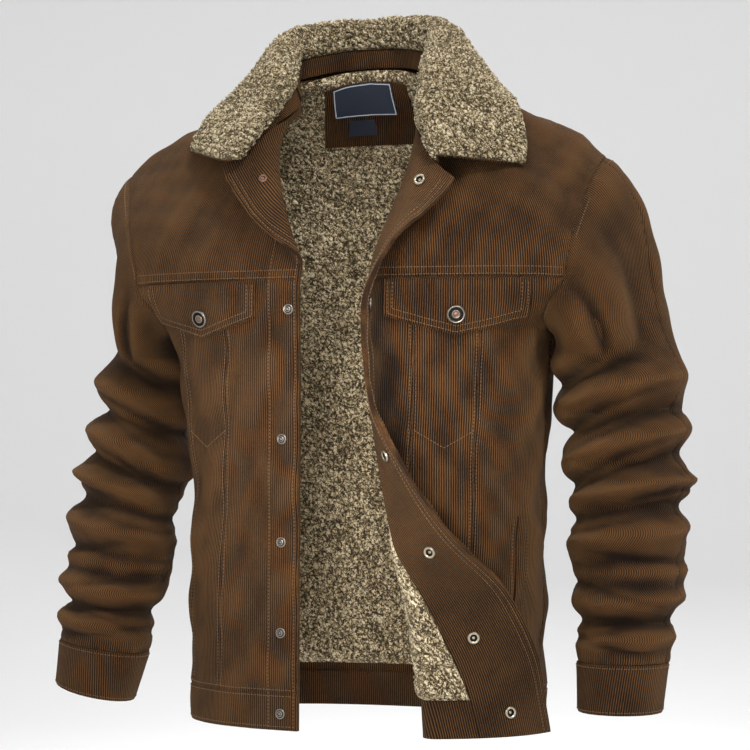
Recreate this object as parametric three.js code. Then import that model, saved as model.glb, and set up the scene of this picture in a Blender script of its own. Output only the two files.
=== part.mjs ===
// A corduroy trucker jacket with a sherpa collar and lining, filled out as if worn and hanging open.
// Millimetres. +Z is up, -Y is the front and +X is the wearer's left.
// The origin is the middle of the neck, at the height where the shoulder seams meet the collar.
// Each piece of cloth is a thin closed wall that follows one of a few named surfaces:
// the body below the yokes, the front and back yokes, the collar and the two sleeves.

import * as THREE from 'three';

// Driving sizes of the jacket.
const HEM_Z = -680;
const BAND_DEPTH = 38;
const BAND_Z = HEM_Z + BAND_DEPTH;
const FRONT_YOKE_Z = -222;
const BACK_YOKE_Z = -165;
const UNDERARM_Z = -272;
const SLEEVE_START_Z = -300;
const CUFF_SEAM_Z = -606;
const CUFF_DEPTH = 50;
const FACING_WIDTH = 72;

// Cloth thicknesses and the gap left between two pieces that touch.
const CORD = 2.2;
const SHERPA = 6;
const GAP = 0.3;
const LAYER_GAP = 0.9;
const BAND_WALL = 4.2;
const COLLAR_PILE = 7;

// Turns a list of rows into an object that gives any named column at any place between the rows.
function table(columns, rows) {
  const keys = rows.map((row) => row[0]);
  const find = (key) => {
    let i = 0;
    while (i < keys.length - 2 && (key - keys[i + 1]) * (keys[1] - keys[0]) > 0) i++;
    return i;
  };
  const slope = (column, i) => {
    const a = Math.max(i - 1, 0);
    const b = Math.min(i + 1, keys.length - 1);
    return (rows[b][column] - rows[a][column]) / (keys[b] - keys[a]);
  };
  return (name, key) => {
    const column = columns.indexOf(name);
    const i = find(key);
    const span = keys[i + 1] - keys[i];
    const t = Math.min(Math.max((key - keys[i]) / span, 0), 1);
    return hermite(t, rows[i][column], slope(column, i) * span, rows[i + 1][column], slope(column, i + 1) * span);
  };
}

function hermite(t, p0, m0, p1, m1) {
  const t2 = t * t;
  const t3 = t2 * t;
  return (2 * t3 - 3 * t2 + 1) * p0 + (t3 - 2 * t2 + t) * m0 + (3 * t2 - 2 * t3) * p1 + (t3 - t2) * m1;
}

const vec = (x, y, z) => new THREE.Vector3(x, y, z);
const radians = (degrees) => degrees * Math.PI / 180;
const mix = (a, b, t) => a + (b - a) * t;
const clamp = (x, low, high) => Math.min(Math.max(x, low), high);
const smooth = (t) => clamp(t, 0, 1) ** 2 * (3 - 2 * clamp(t, 0, 1));
const steps = (from, to, count) => Array.from({ length: count + 1 }, (_, i) => mix(from, to, i / count));

function hermitePoint(t, p0, m0, p1, m1) {
  return vec(
    hermite(t, p0.x, m0.x, p1.x, m1.x),
    hermite(t, p0.y, m0.y, p1.y, m1.y),
    hermite(t, p0.z, m0.z, p1.z, m1.z),
  );
}

// Level sections of the body, from the yokes down to the hem.
const MIDDLE_X = 4;
const MIDDLE_Y = 38;
const SECTION = table(
  ['z', 'frontHalf', 'backHalf', 'frontDepth', 'backDepth', 'frontSquare', 'backSquare'],
  [
    [-150, 270, 252, 126, 110, 3.0, 3.0],
    [-222, 258, 244, 123, 114, 3.0, 2.8],
    [-248, 232, 226, 122, 115, 2.8, 2.6],
    [-272, 208, 208, 121, 116, 2.6, 2.5],
    [-330, 200, 200, 120, 116, 2.4, 2.4],
    [-450, 191, 191, 120, 116, 2.35, 2.35],
    [-560, 189, 189, 120, 116, 2.35, 2.35],
    [-680, 191, 191, 120, 117, 2.35, 2.35],
  ],
);

// Soft folds of the body: place round the body in degrees from the front, height, reach and height of the fold.
const BODY_FOLDS = [
  { turn: -62, z: -430, reach: 26, height: 46, rise: -4.0, lean: 0.5 },
  { turn: -48, z: -560, reach: 22, height: 60, rise: 3.0, lean: -0.4 },
  { turn: 66, z: -400, reach: 24, height: 44, rise: -4.0, lean: -0.5 },
  { turn: 74, z: -540, reach: 22, height: 60, rise: 3.0, lean: 0.5 },
  { turn: 140, z: -330, reach: 30, height: 50, rise: -5.0, lean: 0.8 },
  { turn: -140, z: -350, reach: 30, height: 50, rise: -5.0, lean: -0.8 },
  { turn: 168, z: -520, reach: 26, height: 70, rise: 4.0, lean: 0.3 },
  { turn: -122, z: -560, reach: 24, height: 60, rise: 4.0, lean: -0.3 },
  { turn: 120, z: -590, reach: 22, height: 50, rise: -4.0, lean: 0.4 },
];

function bodyFold(turn, z) {
  let rise = 0;
  for (const fold of BODY_FOLDS) {
    const across = (((turn - fold.turn + 540) % 360) - 180) / fold.reach;
    const along = (z - fold.z - fold.lean * across * fold.height) / fold.height;
    rise += fold.rise * Math.exp(-across * across - along * along);
  }
  return rise * smooth((UNDERARM_Z + 30 - z) / 60) * smooth((z - BAND_Z + 20) / 60);
}

// A point of the body's level section. The turn is 0 at the front, 90 at the wearer's left, 180 at the back.
function sectionPoint(turn, z) {
  const angle = radians(turn);
  const front = Math.cos(angle) >= 0;
  const side = front ? 'front' : 'back';
  const power = 2 / SECTION(`${side}Square`, z);
  const fold = bodyFold(turn, z);
  const half = SECTION(`${side}Half`, z) + fold;
  const depth = SECTION(`${side}Depth`, z) + fold;
  const across = Math.sign(Math.sin(angle)) * Math.abs(Math.sin(angle)) ** power;
  const along = Math.sign(Math.cos(angle)) * Math.abs(Math.cos(angle)) ** power;
  const shift = MIDDLE_X * smooth((UNDERARM_Z - z) / 120);
  return vec(shift + half * across, MIDDLE_Y - depth * along, z);
}

// Lengths measured round the front half of a section, kept for each height that is asked for.
const FRONT_SAMPLES = 90;
const frontLengths = new Map();

function frontLength(z) {
  const key = Math.round(z * 50) / 50;
  if (!frontLengths.has(key)) {
    const turns = steps(-90, 90, FRONT_SAMPLES * 2);
    const points = turns.map((turn) => sectionPoint(turn, key));
    const lengths = [0];
    for (let i = 1; i < points.length; i++) lengths.push(lengths[i - 1] + points[i].distanceTo(points[i - 1]));
    frontLengths.set(key, { turns, points, lengths });
  }
  return frontLengths.get(key);
}

function lookUp(from, to, value) {
  let low = 0;
  let high = from.length - 1;
  while (high - low > 1) {
    const middle = (low + high) >> 1;
    if (from[middle] > value) high = middle;
    else low = middle;
  }
  return mix(to[low], to[high], (value - from[low]) / (from[high] - from[low]));
}

// How each front hangs. The edge place is where its edge would lie if it were closed flat on the body.
// The fold lies that far from the edge, turns the cloth outward by the turn, and leans from upright.
const FRONT_COLUMNS = ['z', 'edgeX', 'foldAt', 'turn', 'radius', 'lean'];
const FRONT_HANG = {
  r: table(FRONT_COLUMNS, [
    [-60, 6, 54, 168, 8, 8],
    [-100, 2, 46, 168, 8, 8],
    [-150, -10, 28, 165, 8, 8],
    [-190, -22, 8, 158, 8, 4],
    [-222, -28, -14, 150, 8, 0],
    [-250, -29, -30, 150, 8, 0],
    [-300, -29, -30, 150, 8, 0],
    [-680, -31, -30, 150, 8, 0],
  ]),
  l: table(FRONT_COLUMNS, [
    [-60, 22, 70, 166, 9, 16],
    [-100, 20, 65, 166, 10, 16],
    [-140, 16, 57, 156, 12, 12],
    [-192, 11, 50, 126, 15, 5],
    [-248, 8, 49, 98, 20, 0],
    [-345, 3, 55, 100, 20, 0],
    [-395, -1, 62, 116, 18, 0],
    [-476, -5, 76, 140, 16, 0],
    [-529, -9, 91, 160, 14, 0],
    [-584, -14, 104, 172, 12, 0],
    [-640, -22, 118, 180, 10, 0],
    [-680, -26, 124, 180, 10, 0],
  ]),
};
const SIGN = { r: -1, l: 1 };

// The body below the yoke, reached by the distance from the front edge, as if that front lay flat.
function bodyBase(side, s, z) {
  const { turns, points, lengths } = frontLength(z);
  const xs = points.map((point) => point.x);
  const edge = lookUp(xs, lengths, FRONT_HANG[side]('edgeX', z));
  const turn = lookUp(lengths, turns, edge + SIGN[side] * s);
  return sectionPoint(turn, z);
}

// The distance from the front edge to a place that is given by its turn round the body.
function frontReach(side, turn, z) {
  const { turns, points, lengths } = frontLength(z);
  const xs = points.map((point) => point.x);
  const edge = lookUp(xs, lengths, FRONT_HANG[side]('edgeX', z));
  return SIGN[side] * (lookUp(turns, lengths, SIGN[side] * turn) - edge);
}

// The armhole below the yokes: the turn round the body where it runs, at each height.
const ARMHOLE_FRONT_TURN = { r: 53, l: 61 };
const ARMHOLE_BACK_TURN = 107;

function armholeTurn(side, front, z) {
  const top = front ? FRONT_YOKE_Z : BACK_YOKE_Z;
  const rise = clamp((z - UNDERARM_Z) / (top - UNDERARM_Z), 0, 1);
  const open = Math.sqrt(1 - (1 - rise) ** 2);
  return mix(90, front ? ARMHOLE_FRONT_TURN[side] : ARMHOLE_BACK_TURN, open);
}

// The shoulder seam, from the neck point out to the armhole.
const SHOULDER = table(['along', 'x', 'y', 'z'], [
  [0, 74, 38, 0],
  [0.27, 126, 37, -22],
  [0.60, 190, 36, -49],
  [0.84, 238, 37, -72],
  [1, 264, 39, -94],
]);
const shoulderPoint = (along) => vec(SHOULDER('x', along), SHOULDER('y', along), SHOULDER('z', along));

// The neckline of each front and of the back, up to the neck point. The out, away and down columns
// are the direction in which the cloth leaves the neckline.
const NECK_COLUMNS = ['along', 'x', 'y', 'z', 'out', 'away', 'down'];
const NECKLINE = {
  r: table(NECK_COLUMNS, [
    [0, -12, -86, -100, 0, 0.15, 1],
    [0.3, 14, -74, -88, 0.3, 0.2, 0.9],
    [0.6, 38, -48, -66, 0.65, 0.25, 0.65],
    [0.8, 54, -8, -32, 0.7, 0.5, 0.3],
    [1, 74, 38, 0, 0.55, 1, 0.23],
  ]),
  l: table(NECK_COLUMNS, [
    [0, 20, -86, -96, 0, 0.15, 1],
    [0.3, 44, -72, -86, 0.3, 0.2, 0.9],
    [0.6, 62, -42, -62, 0.65, 0.25, 0.65],
    [0.8, 69, -4, -32, 0.7, 0.5, 0.3],
    [1, 74, 38, 0, 0.55, 1, 0.23],
  ]),
  back: table(NECK_COLUMNS, [
    [0, 0, 74, 15, 0, 0.1, 1],
    [0.5, 38, 68, 12, 0.1, 0.35, 0.9],
    [1, 74, 38, 0, 0.55, 1, 0.23],
  ]),
};
const NECK_SHARE = { r: 0.4, l: 0.4, back: 0.3 };

// How strongly the cloth keeps the direction in which it leaves the neck and shoulder seams.
const LEAVE_LENGTH = 0.75;
const SHOULDER_SPREAD = 0.6;

// The top edge of a yoke by the share of its width: its place and the direction in which the cloth leaves it.
function topEdge(part, share) {
  const away = part === 'back' ? 1 : -1;
  const neck = NECK_SHARE[part];
  if (share < neck) {
    const value = (name) => NECKLINE[part](name, share / neck);
    const leave = vec(value('out'), away * value('away'), -value('down')).normalize();
    return { start: vec(value('x'), value('y'), value('z')), leave };
  }
  const along = Math.min((share - neck) / (1 - neck), 1);
  const run = shoulderPoint(Math.min(along + 0.02, 1)).sub(shoulderPoint(Math.max(along - 0.02, 0))).normalize();
  const leave = vec(0, away, 0).addScaledVector(run, SHOULDER_SPREAD * (1 - smooth(along / 0.3))).normalize();
  return { start: shoulderPoint(along), leave };
}

// A yoke's surface between its top edge and a place on the yoke seam. The drop is 0 at the top and 1 at the seam.
function yokeSheet(part, share, sign, drop, end, below) {
  const { start, leave } = topEdge(part, share);
  start.x *= sign;
  leave.x *= sign;
  const length = start.distanceTo(end);
  const arrive = below.sub(end).normalize().multiplyScalar(length);
  return hermitePoint(drop, start, leave.multiplyScalar(length * LEAVE_LENGTH), end, arrive);
}

function yokeWidth(side) {
  return frontReach(side, ARMHOLE_FRONT_TURN[side], FRONT_YOKE_Z);
}

// The front yoke as if it lay flat on the chest.
function yokeBase(side, s, drop) {
  const end = bodyBase(side, s, FRONT_YOKE_Z);
  return yokeSheet(side, s / yokeWidth(side), SIGN[side], drop, end, bodyBase(side, s, FRONT_YOKE_Z - 2));
}

// The same surface reached by height, on the yoke or below it.
function flatFront(side, s, z) {
  if (z <= FRONT_YOKE_Z) return bodyBase(side, s, z);
  let low = 0;
  let high = 1;
  for (let i = 0; i < 18; i++) {
    const middle = (low + high) / 2;
    if (yokeBase(side, s, middle).z > z) low = middle;
    else high = middle;
  }
  return yokeBase(side, s, (low + high) / 2);
}

const NUDGE = 1.5;

function flatNormal(side, s, z) {
  const across = flatFront(side, s + NUDGE, z).sub(flatFront(side, s - NUDGE, z));
  const down = flatFront(side, s, z - NUDGE).sub(flatFront(side, s, z + NUDGE));
  return across.cross(down).multiplyScalar(-SIGN[side]).normalize();
}

// The front as it hangs: past the fold it leaves the body, turns outward and lies back over it.
function frontSurface(side, s, level) {
  const onYoke = level < 1;
  const drop = Math.max(level, 0);
  const flat = onYoke ? yokeBase(side, s, drop) : bodyBase(side, s, rowHeight(level));
  const hang = (name) => FRONT_HANG[side](name, flat.z);
  const turn = radians(hang('turn'));
  const radius = hang('radius');
  const bend = turn * radius;
  const start = hang('foldAt') + bend / 2;
  if (s >= start) return flat;
  const past = start - s;
  const angle = Math.min(past / radius, turn);
  const straight = Math.max(past - bend, 0);
  const back = -radius * Math.sin(angle) - straight * Math.cos(turn);
  const height = radius * (1 - Math.cos(angle)) + straight * Math.sin(turn);
  const sag = (1 - Math.cos(angle)) / 2 * Math.sin(2 * radians(hang('lean'))) * past;
  const place = flatFront(side, start + back, flat.z - sag);
  return place.add(flatNormal(side, start + back, flat.z - sag).multiplyScalar(height));
}

// A level runs from 0 at the neckline to 1 at the yoke seam and on to 2 at the hem.
function rowHeight(level) {
  return mix(FRONT_YOKE_Z, HEM_Z, level - 1);
}

function levelOf(z) {
  return 1 + (z - FRONT_YOKE_Z) / (HEM_Z - FRONT_YOKE_Z);
}

// A point at some distance under a surface that is a function of two places.
function under(surface, a, b, depth, outward, stepA, stepB) {
  const across = surface(a + stepA, b).sub(surface(a - stepA, b));
  const down = surface(a, b + stepB).sub(surface(a, b - stepB));
  const normal = across.cross(down).multiplyScalar(outward).normalize();
  return surface(a, b).addScaledVector(normal, -depth);
}

function frontUnder(side, s, level, depth) {
  const surface = (a, b) => frontSurface(side, a, b);
  return under(surface, s, clamp(level, 0.004, 1.996), depth, -SIGN[side], 0.8, 0.004);
}

// The back yoke. Across runs from -1 at the right armhole to 1 at the left one.
function backTurn(across, z) {
  const reach = 180 - armholeTurn('l', false, z);
  return 180 - across * reach;
}

function backYoke(across, drop) {
  const turn = backTurn(across, BACK_YOKE_Z);
  const end = sectionPoint(turn, BACK_YOKE_Z);
  const below = sectionPoint(turn, BACK_YOKE_Z - 2);
  return yokeSheet('back', Math.min(Math.abs(across), 1), across < 0 ? -1 : 1, drop, end, below);
}

// The whole back by level: 0 at the neckline, 1 at the back yoke seam, 2 at the hem.
function backSurface(across, level) {
  if (level < 1) return backYoke(across, Math.max(level, 0));
  const z = mix(BACK_YOKE_Z, HEM_Z, level - 1);
  return sectionPoint(backTurn(across, z), z);
}

function backLevelOf(z) {
  return 1 + (z - BACK_YOKE_Z) / (HEM_Z - BACK_YOKE_Z);
}

function backUnder(across, level, depth) {
  return under(backSurface, clamp(across, -0.995, 0.995), clamp(level, 0.004, 1.996), depth, 1, 0.004, 0.004);
}

// Builds one closed wall from an outer and an inner grid of points. A tube closes on itself across.
// The first slanted rows are split along their other diagonal, so that their facets follow a fold's slant.
function wallMesh(name, outer, inner, colour, { tube = false, slanted = 0 } = {}) {
  const rows = outer.length;
  const columns = outer[0].length;
  const positions = [];
  for (const grid of [outer, inner]) {
    for (const row of grid) for (const point of row) positions.push(point.x, point.y, point.z);
  }
  const at = (layer, i, j) => (layer * rows + i) * columns + (j % columns);
  const faces = [];
  const quad = (a, b, c, d) => faces.push(a, b, c, a, c, d);
  const across = tube ? columns : columns - 1;
  for (let i = 0; i < rows - 1; i++) {
    for (let j = 0; j < across; j++) {
      const front = [at(0, i, j), at(0, i + 1, j), at(0, i + 1, j + 1), at(0, i, j + 1)];
      const back = [at(1, i, j + 1), at(1, i + 1, j + 1), at(1, i + 1, j), at(1, i, j)];
      const turned = (corners) => [...corners.slice(1), corners[0]];
      quad(...(i < slanted ? turned(front) : front));
      quad(...(i < slanted ? back : turned(back)));
    }
  }
  for (let j = 0; j < across; j++) {
    quad(at(0, 0, j), at(0, 0, j + 1), at(1, 0, j + 1), at(1, 0, j));
    quad(at(0, rows - 1, j), at(1, rows - 1, j), at(1, rows - 1, j + 1), at(0, rows - 1, j + 1));
  }
  if (!tube) {
    for (let i = 0; i < rows - 1; i++) {
      quad(at(0, i, 0), at(1, i, 0), at(1, i + 1, 0), at(0, i + 1, 0));
      quad(at(0, i, across), at(0, i + 1, across), at(1, i + 1, across), at(1, i, across));
    }
  }
  return meshOf(name, positions, faces, colour);
}

function signedVolume(positions, faces) {
  let sum = 0;
  const corner = (i) => vec(positions[i * 3], positions[i * 3 + 1], positions[i * 3 + 2]);
  for (let i = 0; i < faces.length; i += 3) {
    sum += corner(faces[i]).dot(corner(faces[i + 1]).cross(corner(faces[i + 2])));
  }
  return sum / 6;
}

function meshOf(name, positions, faces, colour) {
  const turned = signedVolume(positions, faces) < 0;
  const order = [];
  for (let i = 0; i < faces.length; i += 3) {
    const [a, b, c] = faces.slice(i, i + 3);
    order.push(a, turned ? c : b, turned ? b : c);
  }
  const geometry = new THREE.BufferGeometry();
  geometry.setAttribute('position', new THREE.Float32BufferAttribute(positions, 3));
  geometry.setIndex(order);
  geometry.computeVertexNormals();
  const mesh = new THREE.Mesh(geometry, FINISH[colour]);
  mesh.name = name;
  return mesh;
}

const FINISH = {
  corduroy: new THREE.MeshStandardMaterial({ color: 0x503519, roughness: 0.9, metalness: 0 }),
  sherpa: new THREE.MeshStandardMaterial({ color: 0xa48f68, roughness: 1, metalness: 0 }),
  label: new THREE.MeshStandardMaterial({ color: 0x1f2838, roughness: 0.8, metalness: 0 }),
  metal: new THREE.MeshStandardMaterial({ color: 0x9a8f80, roughness: 0.35, metalness: 1 }),
};

const jacket = new THREE.Group();

// Evenly draws the two ends of a list together by half a gap, so that neighbours stay clear.
function inset(values, amount) {
  const last = values.length - 1;
  const result = [...values];
  result[0] += amount;
  result[last] -= amount;
  return result;
}

const SEAM = GAP / 2 + 0.05;
const LINING_EDGE = 0.6;
const TOP_INSET = 0.002;
const SEAM_LEVEL = SEAM / (FRONT_YOKE_Z - HEM_Z);

// A piece of a front between two distances from the edge, over a list of levels.
function frontPiece(name, side, distances, levels, top, bottom, colour = 'corduroy') {
  const grid = (depth) => levels.map((level) => distances(level).map((s) => frontUnder(side, s, level, depth)));
  const slanted = levels.slice(1).filter((level) => level <= 1).length;
  jacket.add(wallMesh(name, grid(top), grid(bottom), colour, { slanted }));
}

// Distances of the two long seams of each front from its edge, which spread a little towards the hem.
const innerSeam = (level) => mix(82, 100, clamp(level - 1, 0, 1));
const outerSeam = (level) => mix(150, 158, clamp(level - 1, 0, 1));
const sideSeam = (side, level) => {
  const z = rowHeight(level);
  return frontReach(side, z > UNDERARM_Z ? armholeTurn(side, true, z) : 90, z);
};

// Columns of points across a front. Shell and lining share them, so that a bend keeps them apart.
const FACING_STEPS = 9;
const PANEL_STEPS = { r: 3, l: 8 };
const SIDE_STEPS = 4;

function columnsOf(side, from, to) {
  const inner = (level) => innerSeam(Math.max(level, 1));
  const outer = (level) => outerSeam(Math.max(level, 1));
  const end = (level) => (level < 1 ? yokeWidth(side) : sideSeam(side, level));
  const even = (start, stop, count) => (level) => steps(start(level), stop(level), count);
  const stretches = {
    facing: even(() => 0, () => FACING_WIDTH, FACING_STEPS),
    centre: even(() => FACING_WIDTH, inner, 2),
    middle: even(inner, outer, PANEL_STEPS[side]),
    side: even(outer, end, SIDE_STEPS),
  };
  const names = Object.keys(stretches);
  const used = names.slice(names.indexOf(from), names.indexOf(to) + 1);
  return (level) => used.flatMap((name, i) => stretches[name](level).slice(i === 0 ? 0 : 1));
}

// Levels of the rows: on the yoke, then close together beside the armhole, then even down to the band.
const YOKE_LEVELS = [0, 0.1, 0.24, 0.4, 0.55, 0.7, 0.85, 1];
const ARM_ROWS = [FRONT_YOKE_Z, -236, -253, -267, UNDERARM_Z];
const LOWER_ROWS = steps(UNDERARM_Z, BAND_Z, 8).slice(1);
const PANEL_LEVELS = [...ARM_ROWS, ...LOWER_ROWS].map(levelOf);

function buildFront(side) {
  const piece = (name, from, to, levels, top, bottom, colour, edge = SEAM) => {
    const columns = columnsOf(side, from, to);
    frontPiece(`${name}_${side}`, side, (level) => inset(columns(level), edge), levels, top, bottom, colour);
  };
  const panels = inset(PANEL_LEVELS, SEAM_LEVEL);
  piece('front_yoke', 'facing', 'side', inset(YOKE_LEVELS, TOP_INSET), 0, CORD);
  piece('centre_front', 'facing', 'centre', panels, 0, CORD);
  piece('middle_front', 'middle', 'middle', panels, 0, CORD);
  piece('side_front', 'side', 'side', panels, 0, CORD);
  const band = inset([levelOf(BAND_Z), 2], SEAM_LEVEL);
  piece('hem_band', 'facing', 'side', band, 0, BAND_WALL);
  const shell = CORD + LAYER_GAP;
  const inside = inset([...YOKE_LEVELS, ...PANEL_LEVELS.slice(1)], SEAM_LEVEL);
  inside[0] = TOP_INSET;
  piece('facing', 'facing', 'facing', inside, shell, shell + CORD, 'corduroy', 0.5);
  piece('lining_front', 'centre', 'side', inside, shell, shell + SHERPA, 'sherpa', LINING_EDGE);
}

buildFront('r');
buildFront('l');

// The back: yoke, one panel, hem band, lining and the corduroy patch inside the neck.
function backPiece(name, columns, levels, top, bottom, colour = 'corduroy') {
  const grid = (depth) => levels.map((level) => columns.map((across) => backUnder(across, level, depth)));
  jacket.add(wallMesh(name, grid(top), grid(bottom), colour));
}

const EDGE_ACROSS = SEAM / 230;
const acrossBody = (count) => inset(steps(-1, 1, count), EDGE_ACROSS);
const BACK_SEAM_LEVEL = SEAM / (BACK_YOKE_Z - HEM_Z);
const BACK_ARM_ROWS = [BACK_YOKE_Z, -195, -230, -255, -268, UNDERARM_Z];

const LINING_SIDE = 0.008;

const BACK_COLUMNS = acrossBody(18);
const BACK_YOKE_ROWS = [0, 0.12, 0.27, 0.42, 0.7, 1];
const BACK_PANEL_ROWS = [...BACK_ARM_ROWS, ...LOWER_ROWS].map(backLevelOf);
const BACK_INSIDE_ROWS = [...BACK_YOKE_ROWS, ...BACK_PANEL_ROWS.slice(1)];

function buildBack() {
  backPiece('back_yoke', BACK_COLUMNS, inset(BACK_YOKE_ROWS, TOP_INSET), 0, CORD);
  backPiece('back_panel', BACK_COLUMNS, inset(BACK_PANEL_ROWS, BACK_SEAM_LEVEL), 0, CORD);
  backPiece('hem_band_back', BACK_COLUMNS, inset([backLevelOf(BAND_Z), 2], BACK_SEAM_LEVEL), 0, BAND_WALL);
  const shell = CORD + LAYER_GAP;
  const rows = inset(BACK_INSIDE_ROWS, BACK_SEAM_LEVEL);
  rows[0] = TOP_INSET;
  const inner = inset(BACK_COLUMNS, LINING_SIDE);
  backPiece('lining_back', inner, rows, shell, shell + SHERPA, 'sherpa');
}

buildBack();

// What lies on cloth is placed on the cloth's own flat facets. The corner function gives a grid point by
// column and row, and the shares say where in that grid cell the wanted place is.
function cellOf(values, value) {
  let i = 0;
  while (i < values.length - 2 && values[i + 1] < value) i++;
  return { i, t: (value - values[i]) / (values[i + 1] - values[i]) };
}

function onFacet(corner, across, down) {
  const start = corner(0, 0);
  const end = corner(1, 1);
  const turnAt = down > across ? corner(0, 1) : corner(1, 0);
  const [first, second] = down > across ? [down, across] : [across, down];
  const point = start.clone().addScaledVector(turnAt.clone().sub(start), first);
  return point.addScaledVector(end.sub(turnAt), second);
}

function onBackFacets(across, level, depth) {
  const a = cellOf(BACK_COLUMNS, across);
  const b = cellOf(BACK_INSIDE_ROWS, level);
  const corner = (i, j) => backUnder(BACK_COLUMNS[a.i + i], BACK_INSIDE_ROWS[b.i + j], depth);
  return onFacet(corner, a.t, b.t);
}

const FRONT_ROWS = [...YOKE_LEVELS, ...PANEL_LEVELS.slice(1), 2];

function onFrontFacets(side, reach, level, depth) {
  const b = cellOf(FRONT_ROWS, level);
  const columns = columnsOf(side, 'facing', 'side');
  const rows = [columns(FRONT_ROWS[b.i]), columns(FRONT_ROWS[b.i + 1])];
  const a = cellOf(rows[0].map((value, k) => mix(value, rows[1][k], b.t)), reach);
  const corner = (i, j) => frontUnder(side, rows[j][a.i + i], FRONT_ROWS[b.i + j], depth);
  return onFacet(corner, a.t, b.t);
}

const LINING_DEPTH = CORD + LAYER_GAP + SHERPA;
const PATCH_DEPTH = LINING_DEPTH + 1.9;
const LABEL_DEPTH = PATCH_DEPTH + CORD + 1.3;
const TAB_DEPTH = PATCH_DEPTH + CORD + 0.5;
const LABEL_WALL = 0.8;
const NECK_TRIM = {
  neck_patch: { left: [-0.205, -0.16], right: [0.16, 0.12], rows: [0.07, 0.44], depth: PATCH_DEPTH, wall: CORD },
  label: { left: [-0.18, -0.14], right: [0.09, 0.075], rows: [0.075, 0.27], depth: LABEL_DEPTH, wall: LABEL_WALL },
  size_tab: { left: [-0.08, -0.08], right: [0, 0], rows: [0.29, 0.38], depth: TAB_DEPTH, wall: LABEL_WALL },
};

// The sides list the place across at the top and at the bottom, and the rows list the top and bottom levels.
function buildNeckTrim() {
  const between = (values, from, to) => [from, ...values.filter((value) => value > from && value < to), to];
  for (const [name, { left, right, rows, depth, wall }] of Object.entries(NECK_TRIM)) {
    const levels = between(BACK_INSIDE_ROWS, ...rows);
    const grid = (inward) => levels.map((level) => {
      const fall = (level - rows[0]) / (rows[1] - rows[0]);
      const ends = [mix(...left, fall), mix(...right, fall)];
      const inner = BACK_COLUMNS.filter((across) => across > Math.max(...left) && across < Math.min(...right));
      return [ends[0], ...inner, ends[1]].map((across) => onBackFacets(across, level, inward));
    });
    jacket.add(wallMesh(name, grid(depth), grid(depth + wall), name === 'neck_patch' ? 'corduroy' : 'label'));
  }
}

buildNeckTrim();

// Pocket flaps and side pocket welts lie on the panels, moved out from them.
const FLAP_START = { r: 47, l: 53 };
const FLAP_WIDTH = { r: 132, l: 148 };
const FLAP_SIDE_DEPTH = 37;
const FLAP_TIP_DEPTH = 57;
const FLAP_LIFT = 1;
const FLAP_WALL = 3;

function flapDepth(share) {
  return mix(FLAP_TIP_DEPTH, FLAP_SIDE_DEPTH, Math.abs(share - 0.5) * 2);
}

function buildFlap(side) {
  const shares = steps(0, 1, 8);
  const drops = [0, 0.33, 0.67, 1];
  const grid = (lift) => drops.map((drop) => shares.map((share) => {
    const z = FRONT_YOKE_Z - 1 - drop * flapDepth(share);
    return frontUnder(side, FLAP_START[side] + share * FLAP_WIDTH[side], levelOf(z), -lift);
  }));
  jacket.add(wallMesh(`pocket_flap_${side}`, grid(FLAP_LIFT + FLAP_WALL), grid(FLAP_LIFT), 'corduroy'));
}

const WELT_REACH = 206;
const WELT_WIDTH = 12;
const WELT_TOP_Z = -462;
const WELT_BOTTOM_Z = -592;

function buildWelt(side) {
  const levels = steps(WELT_TOP_Z, WELT_BOTTOM_Z, 5).map(levelOf);
  const columns = steps(WELT_REACH, WELT_REACH + WELT_WIDTH, 2);
  frontPiece(`pocket_welt_${side}`, side, () => columns, levels, -3, -0.6);
}

buildFlap('r');
buildFlap('l');
buildWelt('r');
buildWelt('l');

// Sleeves. A turn of 0 is the outer side, 90 the front, 180 the body side and 270 the back.
const SLEEVE_COLUMNS = ['z', 'x', 'y', 'wide', 'deep', 'tilt'];
const SLEEVE = {
  r: table(SLEEVE_COLUMNS, [
    [-300, 256, 74, 50, 72, 0],
    [-344, 259, 72, 53, 69, 2],
    [-390, 264, 62, 55, 65, 4],
    [-430, 269, 50, 56, 62, 6],
    [-470, 272, 36, 57, 60, 7],
    [-507, 273, 25, 57, 58, 7],
    [-554, 276, 10, 53, 53, 8],
    [-604, 281, -1, 49, 48, 9],
    [-654, 290, -6, 43, 44, 13],
  ]),
  l: table(SLEEVE_COLUMNS, [
    [-300, 271, 58, 65, 66, 0],
    [-344, 271, 62, 65, 65, 0],
    [-390, 276, 57, 62, 63, 0],
    [-430, 280, 48, 61, 62, 0],
    [-470, 284, 36, 59, 60, 0],
    [-507, 286, 25, 58, 57, 0],
    [-554, 288, 10, 52, 53, 0],
    [-604, 287, -1, 46, 47, 0],
    [-654, 285, -6, 42, 43, 0],
  ]),
};

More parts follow.
